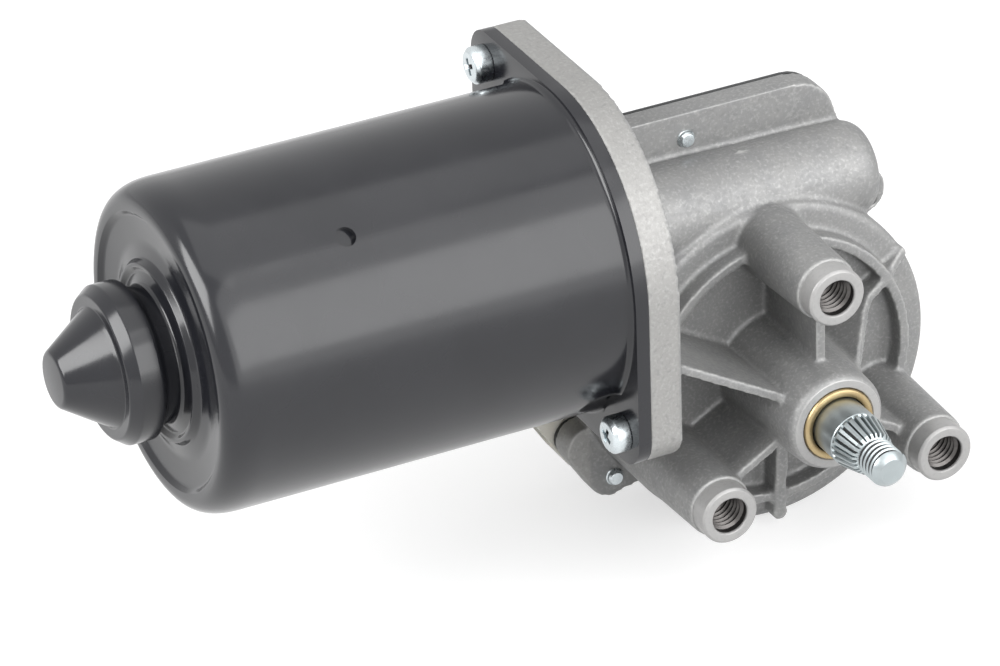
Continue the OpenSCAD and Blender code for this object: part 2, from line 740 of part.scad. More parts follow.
// Sintered bearing where the armature shaft enters the gearbox
module centre_bearing() {
    color("#b08a4e") toward_gear(seat_x + brush_plate_t)
        ring(centre_bearing_r, hub_bore_r, centre_bearing_w - 0.5);
}

// Bush at the far end of the worm
module worm_end_bush() {
    color("#b08a4e") toward_gear(end_bush_x) ring(end_bush_r, hub_bore_r, end_bush_len);
}

// Hard pad behind the worm bush that takes the end thrust
module worm_thrust_pad() {
    color("#e4e0d2") toward_gear(end_bush_x + end_bush_len) cylinder(r = end_bush_r, h = pad_t);
}

// Brass bush in the face of the central boss, with a chamfered bore
module front_shaft_bush() {
    bore = output_r + running_gap;
    color("#c9ae6c") along_output(bush_front) rotate_extrude() polygon(concat(
        [[bore, front_bush_len], [bore, 1.6], [bore + 0.6, 0.6]],
        arc_points([bush_r - 0.7, 0.7], [0.7, 0.7], 250, 360, 4),
        [[bush_r, front_bush_len]]));
}

// Bush behind it, flush with the housing floor
module rear_shaft_bush() {
    color("#c9ae6c") along_output(cavity_y - rear_bush_len)
        ring(bush_r, output_r + running_gap, rear_bush_len);
}

// Rubber ring that seals the output shaft between the bushes
module shaft_seal() {
    seal_y = front_bush_len + bush_front;
    color("#1f1f1f") along_output(seal_y) ring(output_r + 0.9, output_r + 0.1, 2);
}

// Gasket under the cover
module cover_gasket() {
    color("#1d1e1f") difference() {
        y_extrude(rim_y, cover_y) cover_outline();
        along_output(rim_y - cut) cylinder(r = cavity_r, h = gasket_t + 2 * cut);
        y_extrude(rim_y - cut, cover_y + cut) for (p = screw_points)
            translate(p) circle(r = cover_screw_r + seat_gap);
    }
}

// Black sheet cover with a raised round field
module gear_cover() {
    color("#26282a") difference() {
        union() {
            y_extrude(cover_y, cover_back) cover_outline();
            along_output(cover_back)
                cylinder(r1 = cover_dome_r, r2 = cover_dome_r - cover_dome_h, h = cover_dome_h);
        }
        along_output(cover_y - 0.1)
            cylinder(r1 = cover_dome_r - cover_t, r2 = cover_dome_r - cover_t - cover_dome_h,
                     h = cover_dome_h + 0.1);
        y_extrude(cover_y - cut, cover_back + cut) for (p = screw_points)
            translate(p) circle(r = cover_screw_r + seat_gap);
        at_blades() translate([-blade_leg - 0.5, -cover_t - cut, -blade_w / 2 - 0.4])
            cube([blade_t + 1, cover_t + 2 * cut, blade_w + 0.8]);
    }
}

// Four self-tapping screws that hold the cover, two of them with tips that show through the rim
module cover_screws() {
    color("#c3cbcf") for (i = [0 : len(screw_points) - 1]) {
        through = screw_through[i];
        shank = (through ? rim_t + 0.6 : 4) + gasket_t + cover_t;
        translate([screw_points[i].x, cover_back, screw_points[i].y]) rotate([90, 0, 0]) difference() {
            union() {
                cylinder(r = cover_screw_r, h = shank);
                translate([0, 0, -cover_head_h]) rotate_extrude() polygon(concat(
                    [[0, cover_head_h], [cover_head_r, cover_head_h]],
                    arc_points([cover_head_r - 1.2, 1.2], [1.2, -1.2], 0, 90, 4), [[0, 0]]));
            }
            translate([0, 0, -cover_head_h - cut]) cylinder(r = 1.3, h = cut + 1);
        }
    }
}

// Insulating plate inside the cover that carries the contacts
module contact_plate() {
    color("#4a4a42") y_extrude(contact_plate_y, cover_y) difference() {
        circle(r = plate_r);
        circle(r = output_r + 3);
    }
}

// Three sprung contact fingers that ride on the parking disc
module park_contacts() {
    reach = contact_plate_y - wheel_back - park_t - 0.15;
    finger_t = 0.4;
    finger_w = 2.2;
    foot_len = 9;
    bend = 5;
    hook = [1.6, 0.9];
    track_r = park_in_r + 2;
    track_step = 3;
    color("#cf9a55") for (i = [0 : 2]) rotate([0, 25 * i - 100, 0])
        translate([track_r + track_step * i, contact_plate_y, 0]) linear_extrude(finger_w) polygon([
            [-foot_len, 0], [-foot_len, -finger_t], [-bend, -finger_t], [0, -reach],
            [hook.x, -reach + hook.y],
            [hook.x - 0.3, -reach + hook.y + 0.3], [0, -reach + finger_t + 0.2], [-bend + finger_t, 0]]);
}

// Frame of the connector: X out of its mouth, Y away from the cover
module at_connector() {
    translate([connector_c.x, cover_back, connector_c.y]) rotate([0, -mouth_angle, 0]) children();
}

// Places of the connector blades
module at_blades() {
    for (i = [0 : blade_count - 1])
        at_connector() translate([0, 0, (i - (blade_count - 1) / 2) * blade_step])
        children();
}

// Plastic socket on the cover, open at its slanted end
module connector_shell() {
    color("#d9d8cc") difference() {
        at_connector() difference() {
            union() {
                translate([-connector_len, 0, -connector_w / 2])
                    cube([connector_len, connector_h, connector_w]);
                translate([-6, connector_h, -3]) cube([4, 1.4, 6]);
            }
            translate([-connector_len + connector_back, connector_floor, -connector_w / 2 + connector_wall])
                cube([connector_len, connector_h - connector_floor - connector_wall,
                      connector_w - 2 * connector_wall]);
        }
        at_blades() translate([-blade_leg - 0.1, -cut, -blade_w / 2 - 0.1]) union() {
            cube([blade_t + 0.2, blade_mid + blade_t / 2 + cut + 0.1, blade_w + 0.2]);
            translate([0, cut + blade_mid - blade_t / 2 - 0.1, 0])
                cube([blade_leg, blade_t + 0.2, blade_w + 0.2]);
        }
    }
}

// Flat blades in the connector, bent down to the contact plate
module connector_terminals() {
    color("#c9b06a") at_blades() union() {
        translate([-blade_leg, blade_mid - blade_t / 2, -blade_w / 2])
            cube([blade_leg - blade_tip, blade_t, blade_w]);
        translate([-blade_leg, -cover_t, -blade_w / 2])
            cube([blade_t, cover_t + blade_mid, blade_w]);
    }
}

// Compression spring behind one brush
module brush_spring(a) {
    gap = holder_back - holder_wall - brush_r1 - 0.1;
    color("#9aa3a8") about_motor(a) translate([brush_x, brush_r1 + 0.05, 0]) rotate([-90, 0, 0])
        linear_extrude(gap, twist = 360 * spring_turns, slices = 10 * spring_turns, $fn = 6)
        translate([spring_r, 0]) circle(r = spring_wire);
}

module brush_spring_common() { brush_spring(brush_angles[0]); }

module brush_spring_low() { brush_spring(brush_angles[1]); }

module brush_spring_high() { brush_spring(brush_angles[2]); }

// Ground shaft that runs from the nose to the far end of the worm
module armature_shaft() {
    end_x = end_bush_x + end_bush_len - 0.15;
    color("#b9c0c2") union() {
        difference() {
            toward_nose(-flange_t - flange_to_shaft + worm_len / 2)
                cylinder(r = shaft_r, h = nose_end + flange_t + flange_to_shaft - worm_len / 2);
            toward_nose(nose_end) sphere(r = ball_r + 0.02);
        }
        toward_gear(-worm_len / 2) cylinder(r = core_shaft_r, h = worm_len);
        toward_gear(worm_len / 2) cylinder(r = shaft_r, h = end_x - worm_len / 2);
    }
}

// Single-start worm
module worm() {
    points = 20;
    color("#a9b0b2") toward_gear(-worm_len / 2) difference() {
        rotate(180 * worm_turns)
            linear_extrude(worm_len, twist = 360 * worm_turns, slices = ceil(17 * worm_turns), $fn = points)
            polygon([for (i = [0 : points - 1]) polar(worm_radius(360 * i / points), 360 * i / points)]);
        translate([0, 0, -cut]) cylinder(r = core_shaft_r, h = worm_len + 2 * cut);
    }
}

// Laminated armature core with its slots
module armature_core() {
    color("#6d7072") toward_nose(core_start) linear_extrude(core_len) difference() {
        circle(r = core_r);
        circle(r = shaft_r);
        for (i = [0 : slot_count - 1]) rotate(360 * i / slot_count) {
            translate([slot_centre_r, 0]) circle(r = slot_r);
            translate([slot_centre_r, -0.9]) square([core_r, 1.8]);
        }
    }
}

// Copper windings, through the slots and over both ends of the core
module armature_windings() {
    end_profile = [[slot_centre_r - slot_r - 4, 0], [slot_centre_r + slot_r - 0.6, 0],
                   [slot_centre_r + slot_r + 0.2, 1.4],
                   [slot_centre_r + slot_r - 0.8, end_turn_len - 1], [slot_centre_r, end_turn_len],
                   [slot_centre_r - slot_r - 2, end_turn_len - 0.6]];
    color("#b5672f") union() {
        toward_nose(core_start + core_len + winding_gap) rotate_extrude() polygon(end_profile);
        toward_nose(core_start - winding_gap) mirror([0, 0, 1]) rotate_extrude() polygon(end_profile);
        toward_nose(core_start - 1) linear_extrude(core_len + 2) for (i = [0 : slot_count - 1])
            rotate(360 * i / slot_count) translate([slot_centre_r, 0]) circle(r = slot_r - winding_gap);
    }
}

// Copper bars of the commutator with their risers
module commutator_bars() {
    color("#c27f45") toward_nose(commutator_start) difference() {
        union() {
            cylinder(r = commutator_r, h = commutator_len);
            translate([0, 0, commutator_len - riser_len]) cylinder(r = commutator_r + 1.8, h = riser_len);
        }
        translate([0, 0, -cut]) cylinder(r = commutator_r - 3, h = commutator_len + 2 * cut);
        for (i = [0 : slot_count - 1]) rotate(360 * (i + 0.5) / slot_count)
            translate([0, -0.3, -cut]) cube([commutator_r + 3, 0.6, commutator_len + 2 * cut]);
    }
}

// Moulded hub between the bars and the shaft
module commutator_hub() {
    color("#4b3a2e") toward_nose(commutator_start) ring(commutator_r - 3, shaft_r, commutator_len);
}

// Hard ball in the nose end of the shaft
module thrust_ball() {
    color("#cfd4d6") toward_nose(nose_end) sphere(r = ball_r);
}

// Output shaft with its tapered knurl, threaded end and chamfered tip
module output_shaft() {
    color("#c2cacd") along_output(0) rotate_extrude() polygon([
        [0, output_tip], [tip_r, output_tip], [thread_r, output_tip + tip_len],
        [thread_r, output_tip + tip_len + thread_len],
        [knurl_small_r, -plain_len - knurl_len], [output_r - 0.1, -plain_len - 0.8],
        [output_r - 0.1, -plain_len],
        [output_r, -plain_len], [output_r, wheel_back + 1.2],
        [output_r - 0.8, wheel_back + 2], [0, wheel_back + 2]]);
}

// Moulded worm wheel with helical teeth
module worm_wheel() {
    tip_half = (flat_half - addendum * tan(pressure_angle)) / wheel_tip_r * 180 / PI;
    root_half = (flat_half + dedendum * tan(pressure_angle)) / wheel_root_r * 180 / PI;
    helix = wheel_w * lead_slope / wheel_pitch_r * 180 / PI;
    color("#e9e6da") difference() {
        translate([0, wheel_back, 0]) rotate([90, 0, 0]) rotate(helix / 2)
            linear_extrude(wheel_w, twist = helix, slices = 5)
            polygon([for (i = [0 : wheel_teeth - 1], p = [[wheel_root_r, -root_half], [wheel_tip_r, -tip_half],
                                                          [wheel_tip_r, tip_half], [wheel_root_r, root_half]])
                     polar(p[0], 90 + 360 * i / wheel_teeth + p[1])]);
        along_output(wheel_front - cut) cylinder(r = wheel_hub_r, h = wheel_w + 2 * cut);
        along_output(wheel_front - cut) ring(wheel_root_r - 4, wheel_hub_r + 4, cut + 4);
    }
}

// Steel hub pressed on the shaft, with a flange in front of the wheel
module wheel_hub() {
    color("#9da4a7") along_output(cavity_y + shim_t) difference() {
        union() {
            cylinder(r = wheel_hub_r + 3, h = wheel_front - cavity_y - shim_t);
            cylinder(r = wheel_hub_r, h = wheel_back - cavity_y - shim_t + 0.8);
        }
        translate([0, 0, -cut]) cylinder(r = output_r, h = wheel_w + 8);
    }
}

// Parking disc on the back of the wheel, with the notch that stops the wipers
module park_disc() {
    color("#cf9a55") y_extrude(wheel_back, wheel_back + park_t) difference() {
        circle(r = park_r);
        circle(r = park_in_r);
        rotate(250) translate([17, -3]) square([4, 6]);
    }
}

// Thrust washer between the hub and the rear bush
module shim_washer() {
    color("#b9c0c2") along_output(cavity_y) ring(bush_r + 1.8, output_r + running_gap, shim_t);
}

// One carbon brush at an angle, hollowed to the commutator
module carbon_brush(a) {
    color("#3c3b3a") about_motor(a) difference() {
        translate([brush_x - brush_axial / 2, brush_r0 - 1.2, -brush_w / 2])
            cube([brush_axial, brush_len + 1.2, brush_w]);
        translate([brush_x - brush_axial, 0, 0]) rotate([0, 90, 0])
            cylinder(r = brush_r0, h = 2 * brush_axial);
    }
}

module brush_common() { carbon_brush(brush_angles[0]); }

module brush_low() { carbon_brush(brush_angles[1]); }

module brush_high() { carbon_brush(brush_angles[2]); }

motor_can();
field_magnets();
magnet_clips();
nose_bearing();
bearing_retainer();
oil_felt();
nose_thrust_pad();
brush_plate();
brush_holders();
chokes();
lead_bars();
flange_screws();
gearbox_housing();
centre_bearing();
worm_end_bush();
worm_thrust_pad();
front_shaft_bush();
rear_shaft_bush();
shaft_seal();
cover_gasket();
gear_cover();
cover_screws();
contact_plate();
park_contacts();
connector_shell();
connector_terminals();
brush_spring_common();
brush_spring_low();
brush_spring_high();
armature_shaft();
worm();
armature_core();
armature_windings();
commutator_bars();
commutator_hub();
thrust_ball();
output_shaft();
worm_wheel();
wheel_hub();
park_disc();
shim_washer();
brush_common();
brush_low();
brush_high();
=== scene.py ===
import json
from math import atan2, cos, hypot, pi, radians, sin, tan

import bmesh
import bpy
from mathutils import Matrix, Vector


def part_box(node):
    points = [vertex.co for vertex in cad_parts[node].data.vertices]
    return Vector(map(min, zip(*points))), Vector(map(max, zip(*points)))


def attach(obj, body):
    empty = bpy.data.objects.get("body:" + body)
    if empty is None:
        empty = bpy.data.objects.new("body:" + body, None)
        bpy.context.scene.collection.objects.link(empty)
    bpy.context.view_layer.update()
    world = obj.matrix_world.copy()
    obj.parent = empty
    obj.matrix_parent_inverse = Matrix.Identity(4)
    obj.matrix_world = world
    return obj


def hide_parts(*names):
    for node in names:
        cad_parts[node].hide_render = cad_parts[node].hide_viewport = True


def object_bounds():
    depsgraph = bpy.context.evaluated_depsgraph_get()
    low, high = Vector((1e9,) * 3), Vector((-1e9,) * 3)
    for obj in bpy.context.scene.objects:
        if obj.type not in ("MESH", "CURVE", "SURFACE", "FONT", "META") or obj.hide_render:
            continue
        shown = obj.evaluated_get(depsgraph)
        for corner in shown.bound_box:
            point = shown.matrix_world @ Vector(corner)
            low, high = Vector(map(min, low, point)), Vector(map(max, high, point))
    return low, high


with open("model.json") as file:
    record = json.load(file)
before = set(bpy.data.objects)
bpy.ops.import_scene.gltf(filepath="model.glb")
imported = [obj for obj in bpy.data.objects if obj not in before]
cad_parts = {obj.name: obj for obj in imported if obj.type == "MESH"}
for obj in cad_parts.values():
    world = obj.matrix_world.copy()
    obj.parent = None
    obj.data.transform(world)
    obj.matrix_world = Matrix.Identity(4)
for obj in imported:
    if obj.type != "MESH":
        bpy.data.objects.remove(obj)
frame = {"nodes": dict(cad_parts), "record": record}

cad_low, cad_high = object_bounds()

# Sizes are in millimetres and MM turns them into the frame's metres
MM = 0.001
NOSEWARD = Vector((-1, 0, 0))
INWARD = Vector((0, 1, 0))

# The motor axis and the plane where the can meets the gearbox, from the frame
core_low, core_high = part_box("armature_core")
motor_axis = (core_low + core_high) / 2
can_seat = Vector((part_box("motor_can")[1].x, motor_axis.y, motor_axis.z))

# Can
can_r = 33.75
can_wall = 2.0
can_straight = 81.6
rim_len = 8.1
rim_crest_r = 29.2
rim_bluntness = 2.4
end_face = 88.6
flange_t = 2.8
foot_fillet = 1.2
flange_r = 35.2
ear_r = 6.75
ear_place = flange_r - ear_r
dent_r = 8.0
dent_len = 10.0
dimple_r = 2.1
dimple_place = 57.5
dimple_angle = 127.8
nose_seat_r = 16.1
nose_neck_r = 13.8
nose_seat_start = 95.6
nose_seat_end = 99.6
nose_cone_start = 102.1
nose_cone_end = 111.7
nose_cone_r = 12.2
nose_tip_r = 5.6

# Screws
flange_screw_r = 2.5
flange_head_r = 3.9
flange_head_h = 3.9
flange_screw_grip = 5.5
cover_screw_r = 1.9
cover_head_r = 3.4
cover_head_h = 2.2
screw_pitch = 0.8

# Cover screws, as X, Z and length: the two long ones show through the rim
cover_screw_rows = ((-9.6, 46.3, 8.2), (-27.6, -27.3, 8.2), (18.5, 45.0, 5.4), (28.03, -23.52, 5.4))

# Flange, bosses, hub and pockets of the casting
cast_flange_t = 7.0
boss_circle_r = 28.5
boss_angles = (90, 210, 330)
boss_face_r = 6.15
boss_bore_r = 3.4
boss_step = 4.4
bore_depth = 18.0
mouth_r = 3.9
mouth_depth = 1.5
hub_face_r = 9.7
bush_r = 7.8
bush_front = 0.7
bush_len = 10.2
pocket_r = 29.0
pocket_start = 17.0
pocket_floor = 27.0

# Thread of the bosses and the output shaft
thread_r = 4.0
thread_pitch = 1.25
thread_core_r = 3.3

# Output shaft, as distances in front of the boss faces
shaft_r = 5.9
plain_len = 7.7
knurl_len = 6.5
knurl_small_r = 4.6
thread_len = 6.1
tip_len = 1.4
tip_r = 2.7
knurl_teeth = 26

# Camera of the photograph, as its place and its axes, with focal length and sensor in millimetres
camera_place = (-542.73, -972.61, 648.04)
camera_right = (0.8929227, -0.4491736, -0.0305297)
camera_up = (0.2439818, 0.4257958, 0.8713041)
camera_back = (-0.3783674, -0.7854559, 0.4897929)
focal_length = 232.18
sensor_width = 36

# Soft lamps, as name, place, width and height in metres, and power in watts
soft_lamps = (("front_box", (0.30, -0.86, 0.50), 1.3, 0.75, 7.0),
              ("wide_front_box", (0.32, -0.90, 0.50), 2.0, 1.8, 18.0),
              ("left_box", (-1.0, 0.0, 0.65), 0.8, 0.7, 14.0),
              ("top_box", (0.0, 0.0, 1.1), 0.9, 0.9, 2.2))
surroundings_light = 0.17


class Finish:
    """A surface finish built up in layers on the piece's own coordinates."""

    def __init__(self, name, colour, roughness, metallic=0.0):
        self.name = name
        self.material = bpy.data.materials.new(name)
        self.material.use_nodes = True
        self.nodes = self.material.node_tree.nodes
        self.links = self.material.node_tree.links
        self.shader = self.nodes["Principled BSDF"]
        self.shader.inputs["Base Color"].default_value = (*colour, 1)
        self.shader.inputs["Roughness"].default_value = roughness
        self.shader.inputs["Metallic"].default_value = metallic
        self.place = self.nodes.new("ShaderNodeTexCoord").outputs["Object"]
        self.colour = colour
        self.colour_link = None
        self.relief_link = None
        self.material.diffuse_color = (*colour, 1)

    def noise(self, scale, detail=3.0, stretch=(1, 1, 1)):
        """A cloudy pattern, with scale in features to the metre."""
        mapping = self.nodes.new("ShaderNodeMapping")
        mapping.inputs["Scale"].default_value = stretch
        self.links.new(self.place, mapping.inputs["Vector"])
        texture = self.nodes.new("ShaderNodeTexNoise")
        texture.inputs["Scale"].default_value = scale
        texture.inputs["Detail"].default_value = detail
        self.links.new(mapping.outputs["Vector"], texture.inputs["Vector"])
        return texture.outputs["Fac"]

    def cells(self, scale):
        """Round cells, dark at their centres."""
        texture = self.nodes.new("ShaderNodeTexVoronoi")
        texture.inputs["Scale"].default_value = scale
        self.links.new(self.place, texture.inputs["Vector"])
        return texture.outputs["Distance"]

    def bands(self, scale, axis, kind="BANDS"):
        """Parallel bands across an axis, or rings about it."""
        texture = self.nodes.new("ShaderNodeTexWave")
        texture.wave_type = kind
        if kind == "BANDS":
            texture.bands_direction = axis
        else:
            texture.rings_direction = axis
        texture.inputs["Scale"].default_value = scale
        self.links.new(self.place, texture.inputs["Vector"])
        return texture.outputs["Fac"]

    def spread(self, pattern, low, high, to_low=0.0, to_high=1.0):
        """Stretches part of a pattern's range to another range."""
        remap = self.nodes.new("ShaderNodeMapRange")
        limits = {"From Min": low, "From Max": high, "To Min": to_low, "To Max": to_high}
        for socket, value in limits.items():
            remap.inputs[socket].default_value = value
        self.links.new(pattern, remap.inputs["Value"])
        return remap.outputs["Result"]

    def edges(self, low, high):
        """Worn outer edges, which also carry a painted highlight."""
        return self.spread(self.nodes.new("ShaderNodeNewGeometry").outputs["Pointiness"], low, high)

    def hollows(self):
        """Grooves and inner corners."""
        return self.spread(self.nodes.new("ShaderNodeNewGeometry").outputs["Pointiness"], 0.50, 0.44)

    def across(self, axis):
        """How far along X, Y or Z a point lies."""
        split = self.nodes.new("ShaderNodeSeparateXYZ")
        self.links.new(self.place, split.inputs["Vector"])
        return split.outputs[axis]

    def from_shaft(self):
        """How far a point lies from the output shaft's axis."""
        flat = self.nodes.new("ShaderNodeVectorMath")
        flat.operation = "MULTIPLY"
        flat.inputs[1].default_value = (1, 0, 1)
        self.links.new(self.place, flat.inputs[0])
        reach = self.nodes.new("ShaderNodeVectorMath")
        reach.operation = "LENGTH"
        self.links.new(flat.outputs["Vector"], reach.inputs[0])
        return reach.outputs["Value"]

    def both(self, first, second):
        """Bright where two masks are bright."""
        product = self.nodes.new("ShaderNodeMath")
        product.operation = "MULTIPLY"
        self.links.new(first, product.inputs[0])
        self.links.new(second, product.inputs[1])
        return product.outputs[0]

    def tint(self, mask, colour, amount=1.0):
        """Lays a second colour where the mask is bright."""
        mix = self.nodes.new("ShaderNodeMix")
        mix.data_type = "RGBA"
        factor, under, over = mix.inputs[0], mix.inputs[6], mix.inputs[7]
        if self.colour_link:
            self.links.new(self.colour_link, under)
        else:
            under.default_value = (*self.colour, 1)
        over.default_value = (*colour, 1)
        self.links.new(self.spread(mask, 0, 1, 0, amount), factor)
        self.colour_link = mix.outputs[2]
        self.links.new(self.colour_link, self.shader.inputs["Base Color"])

    def gloss(self, mask, low, high):
        """Lets the roughness run between two values."""
        self.links.new(self.spread(mask, 0.3, 0.7, low, high), self.shader.inputs["Roughness"])

    def relief(self, mask, depth):
        """Raises the surface by a depth in millimetres where the mask is bright."""
        bump = self.nodes.new("ShaderNodeBump")
        bump.inputs["Distance"].default_value = depth * MM
        if self.relief_link:
            self.links.new(self.relief_link, bump.inputs["Normal"])
        self.links.new(mask, bump.inputs["Height"])
        self.relief_link = bump.outputs["Normal"]
        self.links.new(self.relief_link, self.shader.inputs["Normal"])


def can_paint():
    """Black stove enamel with a faint orange peel."""
    f = Finish("can_paint", (0.011, 0.0115, 0.0145), 0.18)
    f.tint(f.spread(f.noise(60), 0.35, 0.7), (0.016, 0.0165, 0.020), 0.8)
    f.gloss(f.noise(140, 5), 0.15, 0.21)
    f.relief(f.noise(420, 2), 0.004)
    return f


def cast_alloy():
    """Grainy die cast metal, trimmed bright round the flange, with painted shade in the pockets and a painted
    highlight along its worn edges.
    """
    f = Finish("cast_alloy", (0.255, 0.255, 0.252), 0.5, 0.35)
    f.tint(f.spread(f.noise(180, 4), 0.35, 0.7), (0.21, 0.212, 0.215), 0.7)
    front = can_seat.x - 1.0 * MM
    back = can_seat.x + (cast_flange_t - 0.2) * MM
    on_flange = f.both(f.spread(f.across("X"), front, front + 0.5 * MM),
                       f.spread(f.across("X"), back, back - 0.6 * MM))
    f.tint(on_flange, (0.30, 0.296, 0.287), 0.85)
    # Painted shade: darker towards the floor of the pockets inside the rim
    painted_pocket_shade = f.both(f.spread(f.from_shaft(), pocket_r * MM, (pocket_r - 1.5) * MM),
                       f.spread(f.across("Y"), pocket_start * MM, pocket_floor * MM))
    f.tint(painted_pocket_shade, (0.15, 0.15, 0.15), 0.32)
    f.tint(f.spread(f.noise(1500, 4), 0.5, 0.72), (0.40, 0.40, 0.39), 0.5)
    f.tint(f.spread(f.noise(1100, 5), 0.56, 0.74), (0.16, 0.16, 0.163), 0.4)
    # Lighter outer edges: wear, and a painted highlight along them
    f.tint(f.edges(0.515, 0.60), (0.58, 0.58, 0.565), 0.65)
    f.gloss(f.noise(900, 3), 0.42, 0.6)
    f.relief(f.noise(380, 3), 0.06)
    f.relief(f.noise(2400, 3), 0.04)
    return f


def machined_alloy():
    """The same metal, faced in a lathe."""
    f = Finish("machined_alloy", (0.36, 0.356, 0.352), 0.44, 0.3)
    f.tint(f.spread(f.noise(1200, 4), 0.5, 0.75), (0.28, 0.28, 0.28), 0.5)
    f.gloss(f.noise(700, 4), 0.3, 0.46)
    f.relief(f.noise(1800, 2), 0.015)
    return f


def tapped_alloy():
    """Crests of the cut threads, darkened as painted shade inside the holes."""
    f = Finish("tapped_alloy", (0.10, 0.095, 0.092), 0.34, 0.9)
    f.tint(f.spread(f.noise(1400, 4), 0.45, 0.7), (0.07, 0.064, 0.062), 0.7)
    return f


def thread_root():
    """Grooves and thread roots, dark with oil and oxide and with painted shade."""
    f = Finish("thread_root", (0.024, 0.022, 0.022), 0.45, 0.3)
    f.tint(f.spread(f.noise(900, 3), 0.5, 0.75), (0.06, 0.056, 0.056), 0.5)
    return f


def shaft_zinc():
    """Zinc plate on the output shaft, dark in the grooves with grime and painted shade."""
    f = Finish("shaft_zinc", (0.40, 0.44, 0.45), 0.26, 1.0)
    f.tint(f.spread(f.noise(300, 3), 0.4, 0.75), (0.32, 0.355, 0.365), 0.5)
    knurl_start = -(plain_len - 0.1) * MM
    past_plain = f.spread(f.across("Y"), knurl_start, knurl_start - 0.3 * MM)
    # Painted shade, with grime, in the grooves past the plain part
    f.tint(f.both(f.hollows(), past_plain), (0.03, 0.034, 0.038), 0.92)
    f.gloss(f.noise(500, 3), 0.30, 0.38)
    return f


def zinc_plate():
    """Bright blue zinc plate."""
    f = Finish("zinc_plate", (0.62, 0.67, 0.69), 0.27, 1.0)
    f.tint(f.spread(f.noise(500, 4), 0.45, 0.75), (0.47, 0.51, 0.53), 0.6)
    f.gloss(f.noise(900, 4), 0.2, 0.36)
    f.relief(f.noise(1500, 3), 0.008)
    return f


def brass():
    """Turned brass, a little tarnished, with painted shade darkening it towards the shaft."""
    f = Finish("brass", (0.42, 0.33, 0.185), 0.3, 1.0)
    f.tint(f.spread(f.noise(420, 4), 0.45, 0.75), (0.28, 0.19, 0.09), 0.6)
    # Painted shade where the lip falls towards the shaft
    painted_shade_near_shaft = f.spread(f.from_shaft(), (bush_r - 0.7) * MM, (bush_r - 1.4) * MM)
    f.tint(painted_shade_near_shaft, (0.15, 0.105, 0.05), 0.75)
    f.gloss(f.noise(800, 4), 0.24, 0.42)
    f.relief(f.noise(1600, 2), 0.01)
    return f


def sintered():
    """Oil-soaked sintered bronze with open pores."""
    f = Finish("sintered", (0.45, 0.32, 0.16), 0.42, 0.9)
    f.tint(f.spread(f.cells(2600), 0.0, 0.35, 1, 0), (0.10, 0.06, 0.03), 0.8)
    f.relief(f.cells(2600), 0.02)
    return f


def steel():
    """Ground steel, marked round the shafts."""
    f = Finish("steel", (0.50, 0.51, 0.52), 0.26, 1.0)
    f.tint(f.spread(f.noise(600, 5), 0.45, 0.75), (0.38, 0.39, 0.40), 0.5)
    f.gloss(f.noise(3000, 3, (8, 1, 1)), 0.18, 0.36)
    f.relief(f.noise(3000, 3, (8, 1, 1)), 0.004)
    return f


def sheet_black():
    """Satin black coated sheet, a little uneven in its shine."""
    f = Finish("sheet_black", (0.022, 0.023, 0.024), 0.42)
    f.tint(f.spread(f.noise(260, 4), 0.5, 0.75), (0.035, 0.036, 0.037), 0.8)
    f.gloss(f.noise(420, 4), 0.36, 0.52)
    f.relief(f.noise(1300, 3), 0.012)
    return f


def seal_rubber():
    """Matt black rubber with a bloom."""
    f = Finish("seal_rubber", (0.016, 0.016, 0.017), 0.75)
    f.tint(f.spread(f.noise(700, 5), 0.5, 0.8), (0.05, 0.05, 0.05), 0.5)
    f.relief(f.noise(2200, 3), 0.02)
    return f


def moulded(name, colour, shade):
    """Moulded plastic with faint flow lines and a fine texture."""
    f = Finish(name, colour, 0.42)
    f.shader.inputs["Subsurface Weight"].default_value = 0.08
    f.shader.inputs["Subsurface Radius"].default_value = (0.002, 0.0016, 0.001)
    f.shader.inputs["Subsurface Scale"].default_value = 0.5
    f.tint(f.spread(f.noise(120, 4, (1, 1, 3)), 0.4, 0.75), shade, 0.6)
    f.gloss(f.noise(600, 3), 0.36, 0.5)
    f.relief(f.noise(1800, 2), 0.01)
    return f


def brown_laminate():
    """Phenolic laminate with the fibres of its paper."""
    f = Finish("brown_laminate", (0.11, 0.06, 0.032), 0.4)
    f.tint(f.spread(f.noise(500, 6, (1, 6, 1)), 0.4, 0.7), (0.06, 0.032, 0.018), 0.8)
    f.relief(f.noise(900, 4, (1, 6, 1)), 0.01)
    return f


def copper():
    """Bare copper, brown in places."""
    f = Finish("copper", (0.62, 0.27, 0.13), 0.3, 1.0)
    f.tint(f.spread(f.noise(450, 4), 0.45, 0.75), (0.34, 0.13, 0.07), 0.6)
    f.gloss(f.noise(900, 4), 0.24, 0.42)
    f.relief(f.noise(1500, 3), 0.008)
    return f


def enamelled_wire():
    """Varnished copper wire, laid turn by turn."""
    f = Finish("enamelled_wire", (0.40, 0.12, 0.04), 0.28, 0.7)
    turns = f.bands(650, "X", "RINGS")
    f.tint(f.spread(turns, 0.0, 0.45, 1, 0), (0.10, 0.03, 0.012), 0.9)
    f.relief(turns, 0.12)
    return f


def ferrite():
    """Ground ferrite, with small chips."""
    f = Finish("ferrite", (0.045, 0.042, 0.040), 0.5)
    f.tint(f.spread(f.cells(500), 0.0, 0.12, 1, 0), (0.09, 0.085, 0.08), 0.7)
    f.relief(f.noise(1600, 4), 0.02)
    return f


def lamination():
    """Stacked sheets of electrical steel."""
    f = Finish("lamination", (0.20, 0.205, 0.21), 0.4, 0.9)
    sheets = f.bands(320, "X")
    f.tint(f.spread(sheets, 0.0, 0.3, 1, 0), (0.05, 0.05, 0.055), 0.8)
    f.relief(sheets, 0.04)
    return f


